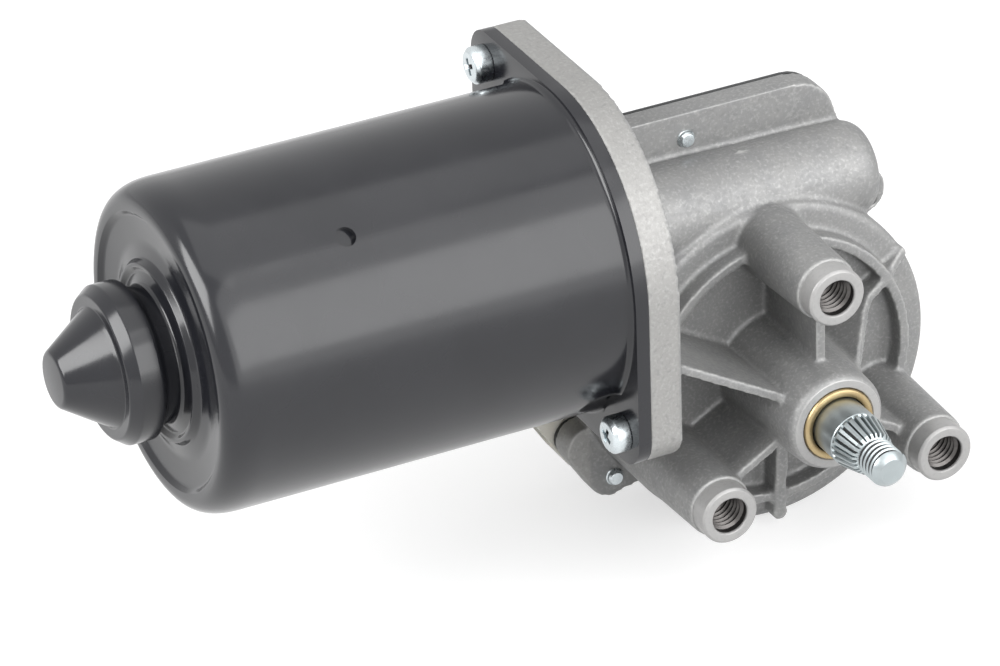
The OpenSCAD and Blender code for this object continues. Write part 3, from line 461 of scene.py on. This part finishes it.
def carbon():
    """Pressed carbon with a graphite sheen."""
    f = Finish("carbon", (0.035, 0.034, 0.033), 0.45, 0.3)
    f.tint(f.spread(f.noise(2200, 3), 0.55, 0.75), (0.09, 0.088, 0.085), 0.6)
    f.relief(f.noise(2200, 3), 0.015)
    return f


def felt():
    """Oiled wool felt."""
    f = Finish("felt", (0.52, 0.46, 0.34), 0.9)
    f.tint(f.spread(f.noise(1100, 6), 0.4, 0.7), (0.36, 0.30, 0.20), 0.8)
    f.relief(f.noise(1800, 6), 0.12)
    return f


finishes = {f.name: f.material for f in (
    can_paint(), cast_alloy(), machined_alloy(), tapped_alloy(), thread_root(), shaft_zinc(),
    zinc_plate(), brass(), sintered(), steel(), sheet_black(), seal_rubber(),
    moulded("cream_plastic", (0.76, 0.74, 0.67), (0.66, 0.63, 0.55)),
    moulded("white_plastic", (0.78, 0.76, 0.68), (0.70, 0.66, 0.56)),
    brown_laminate(), copper(), enamelled_wire(), ferrite(), lamination(), carbon(), felt())}


def add_piece(name, bm, finish, body, *nodes, slot=None, sharp=32):
    """Makes a finished mesh a piece that rides on a body and stands for CAD nodes."""
    mesh = bpy.data.meshes.new(name)
    bm.to_mesh(mesh)
    bm.free()
    mesh.materials.append(finishes[finish])
    mesh.polygons.foreach_set("use_smooth", [True] * len(mesh.polygons))
    mesh.set_sharp_from_angle(angle=radians(sharp))
    piece = bpy.data.objects.new(name, mesh)
    bpy.context.scene.collection.objects.link(piece)
    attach(piece, body)
    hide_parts(*nodes)


def joined(*shapes):
    """Puts several meshes into one."""
    out = shapes[0]
    for other in shapes[1:]:
        mesh = bpy.data.meshes.new("joined")
        other.to_mesh(mesh)
        other.free()
        out.from_mesh(mesh)
        bpy.data.meshes.remove(mesh)
    return out


def modified(bm, *modifiers):
    """Returns the mesh after modifiers, each given as (type, {setting: value})."""
    mesh = bpy.data.meshes.new("work")
    bm.to_mesh(mesh)
    bm.free()
    work = bpy.data.objects.new("work", mesh)
    bpy.context.scene.collection.objects.link(work)
    for kind, settings in modifiers:
        modifier = work.modifiers.new(kind, kind)
        for key, value in settings.items():
            setattr(modifier, key, value)
    bpy.context.view_layer.update()
    result = work.evaluated_get(bpy.context.evaluated_depsgraph_get()).to_mesh()
    out = bmesh.new()
    out.from_mesh(result)
    bpy.data.objects.remove(work)
    bpy.data.meshes.remove(mesh)
    return out


def carved(bm, cutter):
    """Cuts one mesh out of another."""
    mesh = bpy.data.meshes.new("cutter")
    cutter.to_mesh(mesh)
    cutter.free()
    tool = bpy.data.objects.new("cutter", mesh)
    bpy.context.scene.collection.objects.link(tool)
    out = modified(bm, ("BOOLEAN", {"operation": "DIFFERENCE", "object": tool, "solver": "EXACT"}))
    bpy.data.objects.remove(tool)
    bpy.data.meshes.remove(mesh)
    return out


def node_copy(node):
    """A merged copy of a CAD node's mesh."""
    bm = bmesh.new()
    bm.from_mesh(frame["nodes"][node].data)
    bmesh.ops.remove_doubles(bm, verts=bm.verts, dist=0.0005 * MM)
    return bm


def eased_copy(node, width, angle=40):
    """A copy of a CAD node with its sharp edges rounded to a width in millimetres."""
    bm = node_copy(node)
    bmesh.ops.dissolve_limit(bm, angle_limit=radians(1), verts=bm.verts, edges=bm.edges)
    sharp = [e for e in bm.edges if e.is_manifold and e.calc_face_angle(0) > radians(angle)]
    bmesh.ops.bevel(bm, geom=sharp, offset=width * MM, offset_type="OFFSET", affect="EDGES", segments=2,
                    profile=0.5, material=-1, clamp_overlap=True)
    return bm


def rounded(corners, closed=False, steps=7):
    """Rounds the corners of an outline. A corner is (a, b) or (a, b, radius)."""
    out = []
    count = len(corners)
    for i, corner in enumerate(corners):
        point = Vector(corner[:2])
        if len(corner) < 3 or (not closed and i in (0, count - 1)):
            out.append(point)
            continue
        back = (Vector(corners[i - 1][:2]) - point).normalized()
        ahead = (Vector(corners[(i + 1) % count][:2]) - point).normalized()
        half = back.angle(ahead) / 2
        centre = point + (back + ahead).normalized() * corner[2] / sin(half)
        spoke = point + back * corner[2] / tan(half) - centre
        turn = pi - 2 * half
        if back.cross(ahead) > 0:
            turn = -turn
        out += [centre + Matrix.Rotation(turn * k / steps, 2) @ spoke for k in range(steps + 1)]
    return out


def turned(outline, centre, along, steps=96, closed=False):
    """Spins an outline of (radius, distance) points about an axis."""
    bm = bmesh.new()
    side = along.orthogonal().normalized()
    verts = [bm.verts.new(centre + (side * r + along * s) * MM) for r, s in outline]
    edges = [bm.edges.new(pair) for pair in zip(verts, verts[1:])]
    if closed:
        edges.append(bm.edges.new((verts[-1], verts[0])))
    bmesh.ops.spin(bm, geom=verts + edges, cent=centre, axis=along, angle=2 * pi, steps=steps, use_merge=True)
    bmesh.ops.remove_doubles(bm, verts=bm.verts, dist=0.001 * MM)
    bmesh.ops.recalc_face_normals(bm, faces=bm.faces)
    return bm


def thread_ridge(centre, along, root_r, crest_r, start, length, pitch, steps=36):
    """A ridge wound about an axis, from its buried root to its crest."""
    bm = bmesh.new()
    side = along.orthogonal().normalized()
    root_half, crest_half = 0.46 * pitch, 0.08 * pitch
    outline = ((root_r, -root_half), (crest_r, -crest_half), (crest_r, crest_half), (root_r, root_half))
    first = centre + along * start * MM
    verts = [bm.verts.new(first + (side * r + along * s) * MM) for r, s in outline]
    edges = [bm.edges.new((verts[i - 1], verts[i])) for i in range(len(verts))]
    turns = length / pitch
    bmesh.ops.spin(bm, geom=verts + edges, cent=centre, axis=along, dvec=along * pitch * MM / steps,
                   angle=2 * pi * turns, steps=round(steps * turns), use_merge=False)
    bmesh.ops.holes_fill(bm, edges=[e for e in bm.edges if e.is_boundary], sides=0)
    bmesh.ops.recalc_face_normals(bm, faces=bm.faces)
    return bm


def placed(bm, centre, along):
    """Turns a mesh made about Z to stand along an axis at a point."""
    turn = along.to_track_quat("Z", "Y").to_matrix().to_4x4()
    bmesh.ops.transform(bm, matrix=Matrix.Translation(centre) @ turn, verts=bm.verts)
    return bm


def boss_centre(angle):
    """Middle of a boss face."""
    return Vector((cos(radians(angle)), 0, sin(radians(angle)))) * boss_circle_r * MM


def flange_screw_places():
    """Where the clamping screws pass the can's seat."""
    return [can_seat + Vector((0, s, s)) * ear_place * MM for s in (1, -1)]


def cast_housing():
    """The casting: a copy of the solid with its machined tips cut off, and every edge and corner rounded."""
    bm = node_copy("gearbox_housing")
    lined_bore_r = mouth_r + 0.5
    around_boss_r = 9
    for v in bm.verts:
        for centre in map(boss_centre, boss_angles):
            away = Vector((v.co.x - centre.x, 0, v.co.z - centre.z))
            if away.length < (boss_bore_r + 0.1) * MM and v.co.y < (bore_depth + 0.5) * MM:
                v.co += away.normalized() * (lined_bore_r - boss_bore_r) * MM
    for centre in map(boss_centre, boss_angles):
        faces = [f for f in bm.faces
                 if all(hypot(v.co.x - centre.x, v.co.z - centre.z) < around_boss_r * MM for v in f.verts)]
        geom = list({g for f in faces for g in (*f.verts, *f.edges, f)})
        cut = bmesh.ops.bisect_plane(bm, geom=geom, plane_co=INWARD * boss_step * MM, plane_no=-INWARD,
                                     clear_outer=True)
        rim = [e for e in cut["geom_cut"] if isinstance(e, bmesh.types.BMEdge)]
        bmesh.ops.triangle_fill(bm, edges=rim, use_beauty=True)
    bmesh.ops.recalc_face_normals(bm, faces=bm.faces)
    voxel = 0.5
    most_triangles = 185000
    bm = modified(bm, ("REMESH", {"mode": "VOXEL", "voxel_size": voxel * MM}),
                  ("SMOOTH", {"factor": 0.5, "iterations": 3}))
    ratio = min(1.0, most_triangles / (2 * len(bm.faces)))
    bm = modified(bm, ("DECIMATE", {"ratio": ratio}))
    add_piece("cast_housing", bm, "cast_alloy", "housing", "gearbox_housing", sharp=80)


def boss_tips():
    """Machined ends of the three bosses."""
    outline = rounded([(mouth_r + 0.4, boss_step + 0.8), (mouth_r, boss_step + 0.4), (mouth_r, 0.25, 0.1),
                       (mouth_r + 0.2, 0, 0.1), (boss_face_r - 0.45, 0, 0.3), (boss_face_r, 0.5, 0.3),
                       (boss_face_r, boss_step + 0.8)], steps=3)
    bm = joined(*[turned(outline, centre, INWARD, closed=True) for centre in map(boss_centre, boss_angles)])
    add_piece("boss_tips", bm, "machined_alloy", "housing", "gearbox_housing", slot="cast_alloy")


def boss_bores():
    """Walls of the tapped holes, below their plain mouths."""
    wall = [(mouth_r + 0.45, bore_depth), (boss_bore_r + 0.5, bore_depth),
            (boss_bore_r + 0.5, mouth_depth + 0.3), (mouth_r - 0.02, mouth_depth),
            (mouth_r - 0.02, 0.6), (mouth_r + 0.45, boss_step + 1)]
    bm = joined(*[turned(wall, centre, INWARD, closed=True) for centre in map(boss_centre, boss_angles)])
    # The dark walls are painted shade inside the holes, with oil and oxide
    add_piece("boss_bores", bm, "thread_root", "housing", "gearbox_housing", slot="cast_alloy")


def boss_threads():
    """Thread ridges in the tapped holes."""
    bm = joined(*[thread_ridge(centre, INWARD, boss_bore_r + 0.6, boss_bore_r - 0.1, mouth_depth + 0.6,
                               bore_depth - mouth_depth - 2, thread_pitch)
                  for centre in map(boss_centre, boss_angles)])
    add_piece("boss_threads", bm, "tapped_alloy", "housing", "gearbox_housing", slot="cast_alloy")


def hub_face():
    """Faced ring round the front bush."""
    bore = bush_r + 0.08
    outline = rounded([(bore, 0.5), (bore, 0.2), (bore + 0.2, -0.05), (hub_face_r - 0.2, -0.05, 0.1),
                       (hub_face_r, 0.1), (hub_face_r, 0.5)], steps=3)
    bm = turned(outline, Vector((0, 0, 0)), INWARD, closed=True)
    add_piece("hub_face", bm, "machined_alloy", "housing", "gearbox_housing", slot="cast_alloy")


def can_profile():
    """Outside and then inside of the can, as (radius, distance from the flange)."""
    dent_rows = [s * 0.8 for s in range(1, 19)]
    crest = can_straight + rim_len
    outside = rounded([(can_r + foot_fillet, 0.5), (can_r + foot_fillet, flange_t - 0.05),
                       (can_r, flange_t, foot_fillet), (can_r, flange_t + foot_fillet)], steps=6)
    outside += [(can_r, flange_t + foot_fillet + s) for s in dent_rows]
    power = 2 / rim_bluntness
    steps = 20
    outside += [(rim_crest_r + (can_r - rim_crest_r) * cos(pi / 2 * k / steps) ** power,
                 can_straight + rim_len * sin(pi / 2 * k / steps) ** power) for k in range(steps)]
    # From the rim's crest over the end face and its base ring to the neck, the seat and the cone
    nose = [(rim_crest_r, crest), (rim_crest_r - 0.8, crest - 0.1, 0.25), (rim_crest_r - 1.8, end_face, 1.2),
            (nose_neck_r + 8, end_face - 0.5, 6), (nose_neck_r + 5, end_face + 0.1, 0.8),
            (nose_neck_r + 4.2, end_face + 1.5, 0.4), (nose_neck_r + 3.5, end_face + 1.5, 0.4),
            (nose_neck_r + 2.6, end_face + 0.5, 0.6), (nose_neck_r, end_face + 1.6, 1.0),
            (nose_neck_r, nose_seat_start - 2.2, 0.8), (nose_seat_r, nose_seat_start - 0.7, 0.8),
            (nose_seat_r, nose_seat_end - 0.1, 0.7), (nose_seat_r - 1.6, nose_cone_start - 0.4, 0.7),
            (nose_cone_r, nose_cone_start - 0.5, 0.5), (nose_cone_r - 0.5, nose_cone_start + 0.2, 0.3),
            (nose_tip_r, nose_cone_end - 0.2, 1.4), (0, nose_cone_end)]
    outside += rounded(nose)[1:]
    inner_r = can_r - can_wall
    inner_steps = 6
    inside = [(0, nose_cone_end - can_wall), (nose_tip_r - can_wall, nose_cone_end - can_wall),
              (nose_cone_r - can_wall - 0.5, nose_cone_start - can_wall),
              (nose_seat_r - can_wall, nose_seat_end - 0.9), (nose_seat_r - can_wall, nose_seat_start + 1.1),
              (nose_neck_r - can_wall, nose_seat_start - 0.4), (nose_neck_r - can_wall, end_face + 0.6),
              (nose_neck_r, end_face - can_wall), (rim_crest_r - 2.7, end_face - can_wall)]
    inside += [(rim_crest_r - can_wall + (can_r - rim_crest_r) * cos(pi / 2 * k / inner_steps),
                can_straight + (rim_len - can_wall) * sin(pi / 2 * k / inner_steps))
               for k in range(inner_steps, -1, -1)]
    inside += [(inner_r, flange_t + foot_fillet + s) for s in reversed(dent_rows)]
    inside += [(inner_r, 0.5)]
    return outside, inside


def dimple_cutter(angle):
    """A round punch with a slanted end, for the half-pierced dimples."""
    bm = bmesh.new()
    punch_len = 4
    punch_rise = 0.8
    slant = 0.45
    bmesh.ops.create_cone(bm, cap_ends=True, segments=40, radius1=dimple_r * MM, radius2=dimple_r * MM,
                          depth=punch_len * MM)
    spoke = Vector((0, cos(radians(angle)), sin(radians(angle))))
    placed(bm, can_seat + NOSEWARD * dimple_place * MM + spoke * (can_r + punch_rise) * MM, spoke)
    dimple_x = can_seat.x - dimple_place * MM
    for v in bm.verts:
        if (v.co - can_seat).dot(spoke) < can_r * MM:
            v.co += spoke * (slant - (v.co.x - dimple_x) / MM / dimple_r * slant) * MM
    return bm


def press(verts, radius):
    """Presses the relief dents beside the flange screws into some of a wall's points."""
    for centre in flange_screw_places():
        for v in verts:
            along = (can_seat.x - v.co.x) / MM - flange_t
            if not -flange_t < along < dent_len:
                continue
            reach = radius * (1 - (max(0, along) / dent_len) ** 3) ** 0.5
            away = Vector((0, v.co.y - centre.y, v.co.z - centre.z))
            if away.length < reach * MM:
                v.co += away.normalized() * (reach * MM - away.length)


def motor_can():
    """The drawn can, with its flange, dents and dimples."""
    outside, inside = can_profile()
    body = turned(outside + inside, can_seat, NOSEWARD, steps=240, closed=True)
    middle = can_r - can_wall / 2
    outer_part = {v for v in body.verts if hypot(v.co.y - can_seat.y, v.co.z - can_seat.z) > middle * MM}
    inner_part = set(body.verts) - outer_part
    press(outer_part, dent_r)
    press(inner_part, dent_r + can_wall)
    for angle in (dimple_angle, dimple_angle + 180):
        body = carved(body, dimple_cutter(angle))
    add_piece("drawn_can", joined(body, can_flange()), "can_paint", "housing", "motor_can", sharp=40)


def flange_outline():
    """Outline of the motor flange about the motor axis: two round corners and two screw ears."""
    r = flange_r
    corners = [(r, r, ear_r), (-r, r, r), (-r, -r, ear_r), (r, -r, r)]
    return rounded(corners, closed=True, steps=40)


def can_flange():
    """Turned-out flange of the can, with a rounded front edge."""
    bm = bmesh.new()
    front = can_seat.x - flange_t * MM
    outer = [bm.verts.new((front, can_seat.y + a * MM, can_seat.z + b * MM)) for a, b in flange_outline()]
    inner_r = can_r - can_wall / 2
    steps = 96
    inner = [bm.verts.new((front, can_seat.y + inner_r * MM * cos(2 * pi * k / steps),
                           can_seat.z + inner_r * MM * sin(2 * pi * k / steps))) for k in range(steps)]
    rim = [bm.edges.new((loop[i - 1], loop[i])) for loop in (outer, inner) for i in range(len(loop))]
    bmesh.ops.triangle_fill(bm, edges=rim, use_beauty=True)
    plate = bmesh.ops.extrude_face_region(bm, geom=list(bm.faces))
    back = [g for g in plate["geom"] if isinstance(g, bmesh.types.BMVert)]
    bmesh.ops.translate(bm, vec=-NOSEWARD * flange_t * MM, verts=back)
    bmesh.ops.recalc_face_normals(bm, faces=bm.faces)
    front_edge = [e for e in bm.edges if all(v in outer for v in e.verts) and e.calc_face_angle(0) > 1]
    bmesh.ops.bevel(bm, geom=front_edge, offset=0.8 * MM, offset_type="OFFSET", affect="EDGES", segments=4,
                    profile=0.5, material=-1, clamp_overlap=True)
    return bm


def cross_recess(centre, along, width, length, depth, turn):
    """A cross-shaped driver recess, narrower at its foot."""
    shapes = []
    foot_share = 0.45
    for angle in (turn, turn + 90):
        bm = bmesh.new()
        bmesh.ops.create_cube(bm, size=1)
        for v in bm.verts:
            share = 1.0 if v.co.z > 0 else foot_share
            v.co = Vector((v.co.x * length * share, v.co.y * width * share, v.co.z * 2 * depth)) * MM
        bmesh.ops.rotate(bm, cent=(0, 0, 0), matrix=Matrix.Rotation(radians(angle), 3, "Z"), verts=bm.verts)
        shapes.append(placed(bm, centre, along))
    return shapes


def screw(centre, along, head_r, head_h, shank_r, length, turn):
    """A domed screw: along points out of its head, and centre is under the head."""
    core_r = shank_r * 0.88
    outline = rounded([(0, head_h), (head_r * 0.78, head_h * 0.97, 1.2), (head_r, head_h * 0.74, 0.6),
                       (head_r, 0, 0.25), (core_r, 0), (core_r, -length + shank_r * 0.3, 0.15),
                       (shank_r * 0.72, -length, 0.15), (0, -length)])
    bm = turned(outline, centre, along, steps=64)
    top = centre + along * head_h * MM
    for tool in cross_recess(top, along, head_r * 0.36, head_r * 1.3, head_h * 0.62, turn):
        bm = carved(bm, tool)
    ridge = thread_ridge(centre, along, shank_r * 0.8, shank_r, -length + screw_pitch,
                         length - 2 * screw_pitch, screw_pitch, steps=20)
    return joined(bm, ridge)


def recess_floor(centre, along, head_r, head_h, turn):
    """Oily dark floor at the bottom of a driver recess, with painted shade."""
    middle = centre + along * head_h * 0.6 * MM
    return joined(*cross_recess(middle, along, head_r * 0.34, head_r * 1.2, head_h * 0.2, turn))


def flange_screws():
    """The two screws that clamp the can."""
    head = flange_head_r, flange_head_h
    length = flange_t + flange_screw_grip
    shapes, floors = [], []
    for i, place in enumerate(flange_screw_places()):
        seat = place + NOSEWARD * flange_t * MM
        turn = 25 + 40 * i
        shapes.append(screw(seat, NOSEWARD, *head, flange_screw_r, length, turn))
        floors.append(recess_floor(seat, NOSEWARD, *head, turn))
    # Dark recess floors: painted shade, with oil, in the driver recesses
    add_piece("clamping_screw_recesses", joined(*floors), "thread_root", "housing", "flange_screws",
              slot="zinc_plate")
    add_piece("clamping_screws", joined(*shapes), "zinc_plate", "housing", "flange_screws")


def cover_screws():
    """The four screws of the cover, two of them long enough to show through the rim."""
    head_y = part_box("gear_cover")[0].y + 1.0 * MM
    shapes = []
    for i, (x, z, length) in enumerate(cover_screw_rows):
        seat = Vector((x * MM, head_y, z * MM))
        shapes.append(screw(seat, INWARD, cover_head_r, cover_head_h, cover_screw_r, length, 15 + 30 * i))
    add_piece("cover_plate_screws", joined(*shapes), "zinc_plate", "housing", "cover_screws")


def gear_cover():
    """Sheet cover with rounded edges, which shows as a thin dark line behind the rim."""
    bm = eased_copy("gear_cover", 0.25)
    low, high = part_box("gear_cover")
    proud = 0.4
    grow = 1 + 2 * proud * MM / (high.z - low.z)
    bmesh.ops.scale(bm, vec=(grow, 1, grow), space=Matrix.Translation(-(low + high) / 2), verts=bm.verts)
    add_piece("eased_gear_cover", bm, slots["gear_cover"], "housing", "gear_cover")


def connector_shell():
    """Connector housing with rounded edges."""
    bm = eased_copy("connector_shell", 0.3)
    add_piece("eased_connector_shell", bm, slots["connector_shell"], "housing", "connector_shell")


def front_bush():
    """Brass bush with a rounded lip."""
    bore = shaft_r + 0.1
    outline = rounded([(bore, bush_len), (bore, -bush_front + 0.5), (bore + 0.25, -bush_front + 0.12, 0.2),
                       ((bore + bush_r) / 2, -bush_front, 1.5), (bush_r - 0.2, -bush_front + 0.2, 0.4),
                       (bush_r, 0, 0.3), (bush_r, bush_len)], steps=6)
    bm = turned(outline, Vector((0, 0, 0)), INWARD, closed=True)
    add_piece("front_bush", bm, "brass", "housing", "front_shaft_bush")


def fluted_bar(stations, teeth, along):
    """A bar through rings of (distance, groove radius, crest radius), grooved where the two differ."""
    bm = bmesh.new()
    points = 6
    count = points * teeth
    side = along.orthogonal().normalized()
    third = along.cross(side)
    bmesh.ops.create_circle(bm, cap_ends=True, radius=MM, segments=count)
    placed(bm, Vector((0, 0, 0)), along)
    ring, edges = list(bm.verts), list(bm.edges)
    for i, (distance, low, high) in enumerate(stations):
        if i:
            new = bmesh.ops.extrude_edge_only(bm, edges=edges)["geom"]
            ring = [g for g in new if isinstance(g, bmesh.types.BMVert)]
            edges = [g for g in new if isinstance(g, bmesh.types.BMEdge)]
        for v in ring:
            angle = atan2(v.co.dot(third), v.co.dot(side))
            in_groove = round(angle * count / (2 * pi)) % points < 2
            r = low if in_groove else high
            v.co = (side * cos(angle) * r + third * sin(angle) * r + along * distance) * MM
    bmesh.ops.holes_fill(bm, edges=edges, sides=0)
    bmesh.ops.recalc_face_normals(bm, faces=bm.faces)
    return bm


def output_shaft():
    """The output shaft: plain, then knurled on a taper, then threaded to a chamfered end."""
    neck = shaft_r - 0.12
    knurl = plain_len + 0.3
    knurl_end = plain_len + knurl_len
    thread_end = knurl_end + thread_len
    tip = thread_end + tip_len
    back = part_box("output_shaft")[1].y / MM
    groove_r = shaft_r - 0.9
    groove_small_r = knurl_small_r - 0.75
    stations = [(-back, shaft_r - 0.8, shaft_r - 0.8), (-back + 0.8, shaft_r, shaft_r),
                (plain_len - 0.4, shaft_r, shaft_r), (plain_len - 0.2, neck, neck),
                (knurl, groove_r, neck), (knurl + 0.3, groove_r, shaft_r - 0.02),
                (knurl_end - 0.5, groove_small_r, knurl_small_r + 0.05),
                (knurl_end - 0.1, knurl_small_r - 0.8, knurl_small_r - 0.35),
                (knurl_end + 0.15, thread_r - 0.1, thread_r - 0.1),
                (knurl_end + 0.5, thread_core_r, thread_core_r),
                (thread_end - 0.2, thread_core_r, thread_core_r),
                (thread_end, thread_r - 0.1, thread_r - 0.1),
                (thread_end + 0.25, thread_r - 0.2, thread_r - 0.2),
                (tip - 0.25, tip_r + 0.15, tip_r + 0.15), (tip, tip_r - 0.1, tip_r - 0.1)]
    bm = fluted_bar(stations, knurl_teeth, -INWARD)
    ridge = thread_ridge(Vector((0, 0, 0)), -INWARD, thread_core_r - 0.15, thread_r + 0.05, knurl_end + 0.5,
                         thread_len - 0.5, thread_pitch, steps=48)
    add_piece("turned_output_shaft", joined(bm, ridge), "shaft_zinc", "output", "output_shaft",
              slot="zinc_plate", sharp=28)
    # Dark floors in the knurl grooves and thread roots: painted shade, with grime
    knurl_fill = 0.2
    knurl_floor = [(shaft_r - 1.5, knurl), (groove_r + knurl_fill, knurl),
                   (groove_r + knurl_fill, knurl + 0.3), (groove_small_r + knurl_fill, knurl_end - 0.5),
                   (knurl_small_r - 1.4, knurl_end - 0.5)]
    root_fill = 0.42
    thread_floor = [(thread_core_r - 0.5, knurl_end + 0.5), (thread_core_r + root_fill, knurl_end + 0.6),
                    (thread_core_r + root_fill, thread_end - 0.4), (thread_core_r - 0.5, thread_end - 0.3)]
    floors = [turned(outline, Vector((0, 0, 0)), -INWARD, closed=True)
              for outline in (knurl_floor, thread_floor)]
    add_piece("shaft_groove_floors", joined(*floors), "thread_root", "output", "output_shaft",
              slot="zinc_plate")


def studio():
    """Pale floor, white surroundings and soft light."""
    floor_mesh = bpy.data.meshes.new("floor")
    bm = bmesh.new()
    bmesh.ops.create_grid(bm, x_segments=1, y_segments=1, size=3)
    bmesh.ops.translate(bm, vec=(0, 0, cad_low.z - 0.0005), verts=bm.verts)
    bm.to_mesh(floor_mesh)
    bm.free()
    floor = bpy.data.objects.new("floor", floor_mesh)
    bpy.context.scene.collection.objects.link(floor)
    floor_mesh.materials.append(floor_finish())
    white_world()
    for lamp in soft_lamps:
        soft_box(*lamp)


def seen_or_mirrored(nodes, links):
    """One where the camera or a gloss looks, and nothing for other light."""
    path = nodes.new("ShaderNodeLightPath")
    both = nodes.new("ShaderNodeMath")
    both.operation = "MAXIMUM"
    links.new(path.outputs["Is Camera Ray"], both.inputs[0])
    links.new(path.outputs["Is Glossy Ray"], both.inputs[1])
    most = nodes.new("ShaderNodeMath")
    most.operation = "MAXIMUM"
    links.new(both.outputs[0], most.inputs[0])
    links.new(path.outputs["Is Transmission Ray"], most.inputs[1])
    return most.outputs[0]


def floor_finish():
    """White floor that stays white to the eye and still takes the shadow."""
    material = bpy.data.materials.new("floor")
    material.use_nodes = True
    nodes, links = material.node_tree.nodes, material.node_tree.links
    shader = nodes["Principled BSDF"]
    shader.inputs["Base Color"].default_value = (0.5, 0.5, 0.5, 1)
    shader.inputs["Roughness"].default_value = 0.9
    shader.inputs["Specular IOR Level"].default_value = 0
    glow = nodes.new("ShaderNodeEmission")
    links.new(seen_or_mirrored(nodes, links), glow.inputs["Strength"])
    glow.inputs["Color"].default_value = (0.62, 0.62, 0.62, 1)
    both = nodes.new("ShaderNodeAddShader")
    links.new(shader.outputs[0], both.inputs[0])
    links.new(glow.outputs[0], both.inputs[1])
    links.new(both.outputs[0], nodes["Material Output"].inputs["Surface"])
    return material


def white_world():
    """White to the eye and in reflections, and dimmer as light."""
    world = bpy.data.worlds.new("studio")
    bpy.context.scene.world = world
    world.use_nodes = True
    nodes, links = world.node_tree.nodes, world.node_tree.links
    background = nodes["Background"]
    background.inputs["Color"].default_value = (1, 1, 1, 1)
    level = nodes.new("ShaderNodeMapRange")
    level.inputs["To Min"].default_value = surroundings_light
    level.inputs["To Max"].default_value = 1.0
    links.new(seen_or_mirrored(nodes, links), level.inputs["Value"])
    links.new(level.outputs["Result"], background.inputs["Strength"])


def soft_box(name, place, width, height, power):
    """A large soft lamp aimed at the middle of the part."""
    lamp = bpy.data.lights.new(name, "AREA")
    lamp.shape = "RECTANGLE"
    lamp.size, lamp.size_y = width, height
    lamp.energy = power
    box = bpy.data.objects.new(name, lamp)
    box.location = place
    aim = (cad_low + cad_high) / 2 - Vector(place)
    box.rotation_euler = aim.to_track_quat("-Z", "Y").to_euler()
    bpy.context.scene.collection.objects.link(box)


def camera():
    """The photograph's viewpoint."""
    lens = bpy.data.cameras.new("camera")
    lens.sensor_width = sensor_width
    lens.lens = focal_length
    lens.clip_start, lens.clip_end = 0.05, 20
    view = bpy.data.objects.new("camera", lens)
    turn = Matrix((camera_right, camera_up, camera_back)).transposed().to_4x4()
    view.matrix_world = Matrix.Translation(Vector(camera_place) * MM) @ turn
    bpy.context.scene.collection.objects.link(view)
    bpy.context.scene.camera = view


camera()
studio()

# Every node of the frame takes the finish of its material slot
slots = {part["node"]: part["material_slot"] for part in frame["record"]["subparts"]}
for name, node in frame["nodes"].items():
    node.data.materials.clear()
    node.data.materials.append(finishes[slots[name]])

cast_housing()
boss_tips()
boss_bores()
boss_threads()
hub_face()
motor_can()
flange_screws()
cover_screws()
front_bush()
output_shaft()
gear_cover()
connector_shell()

bpy.context.scene.view_settings.view_transform = "Standard"
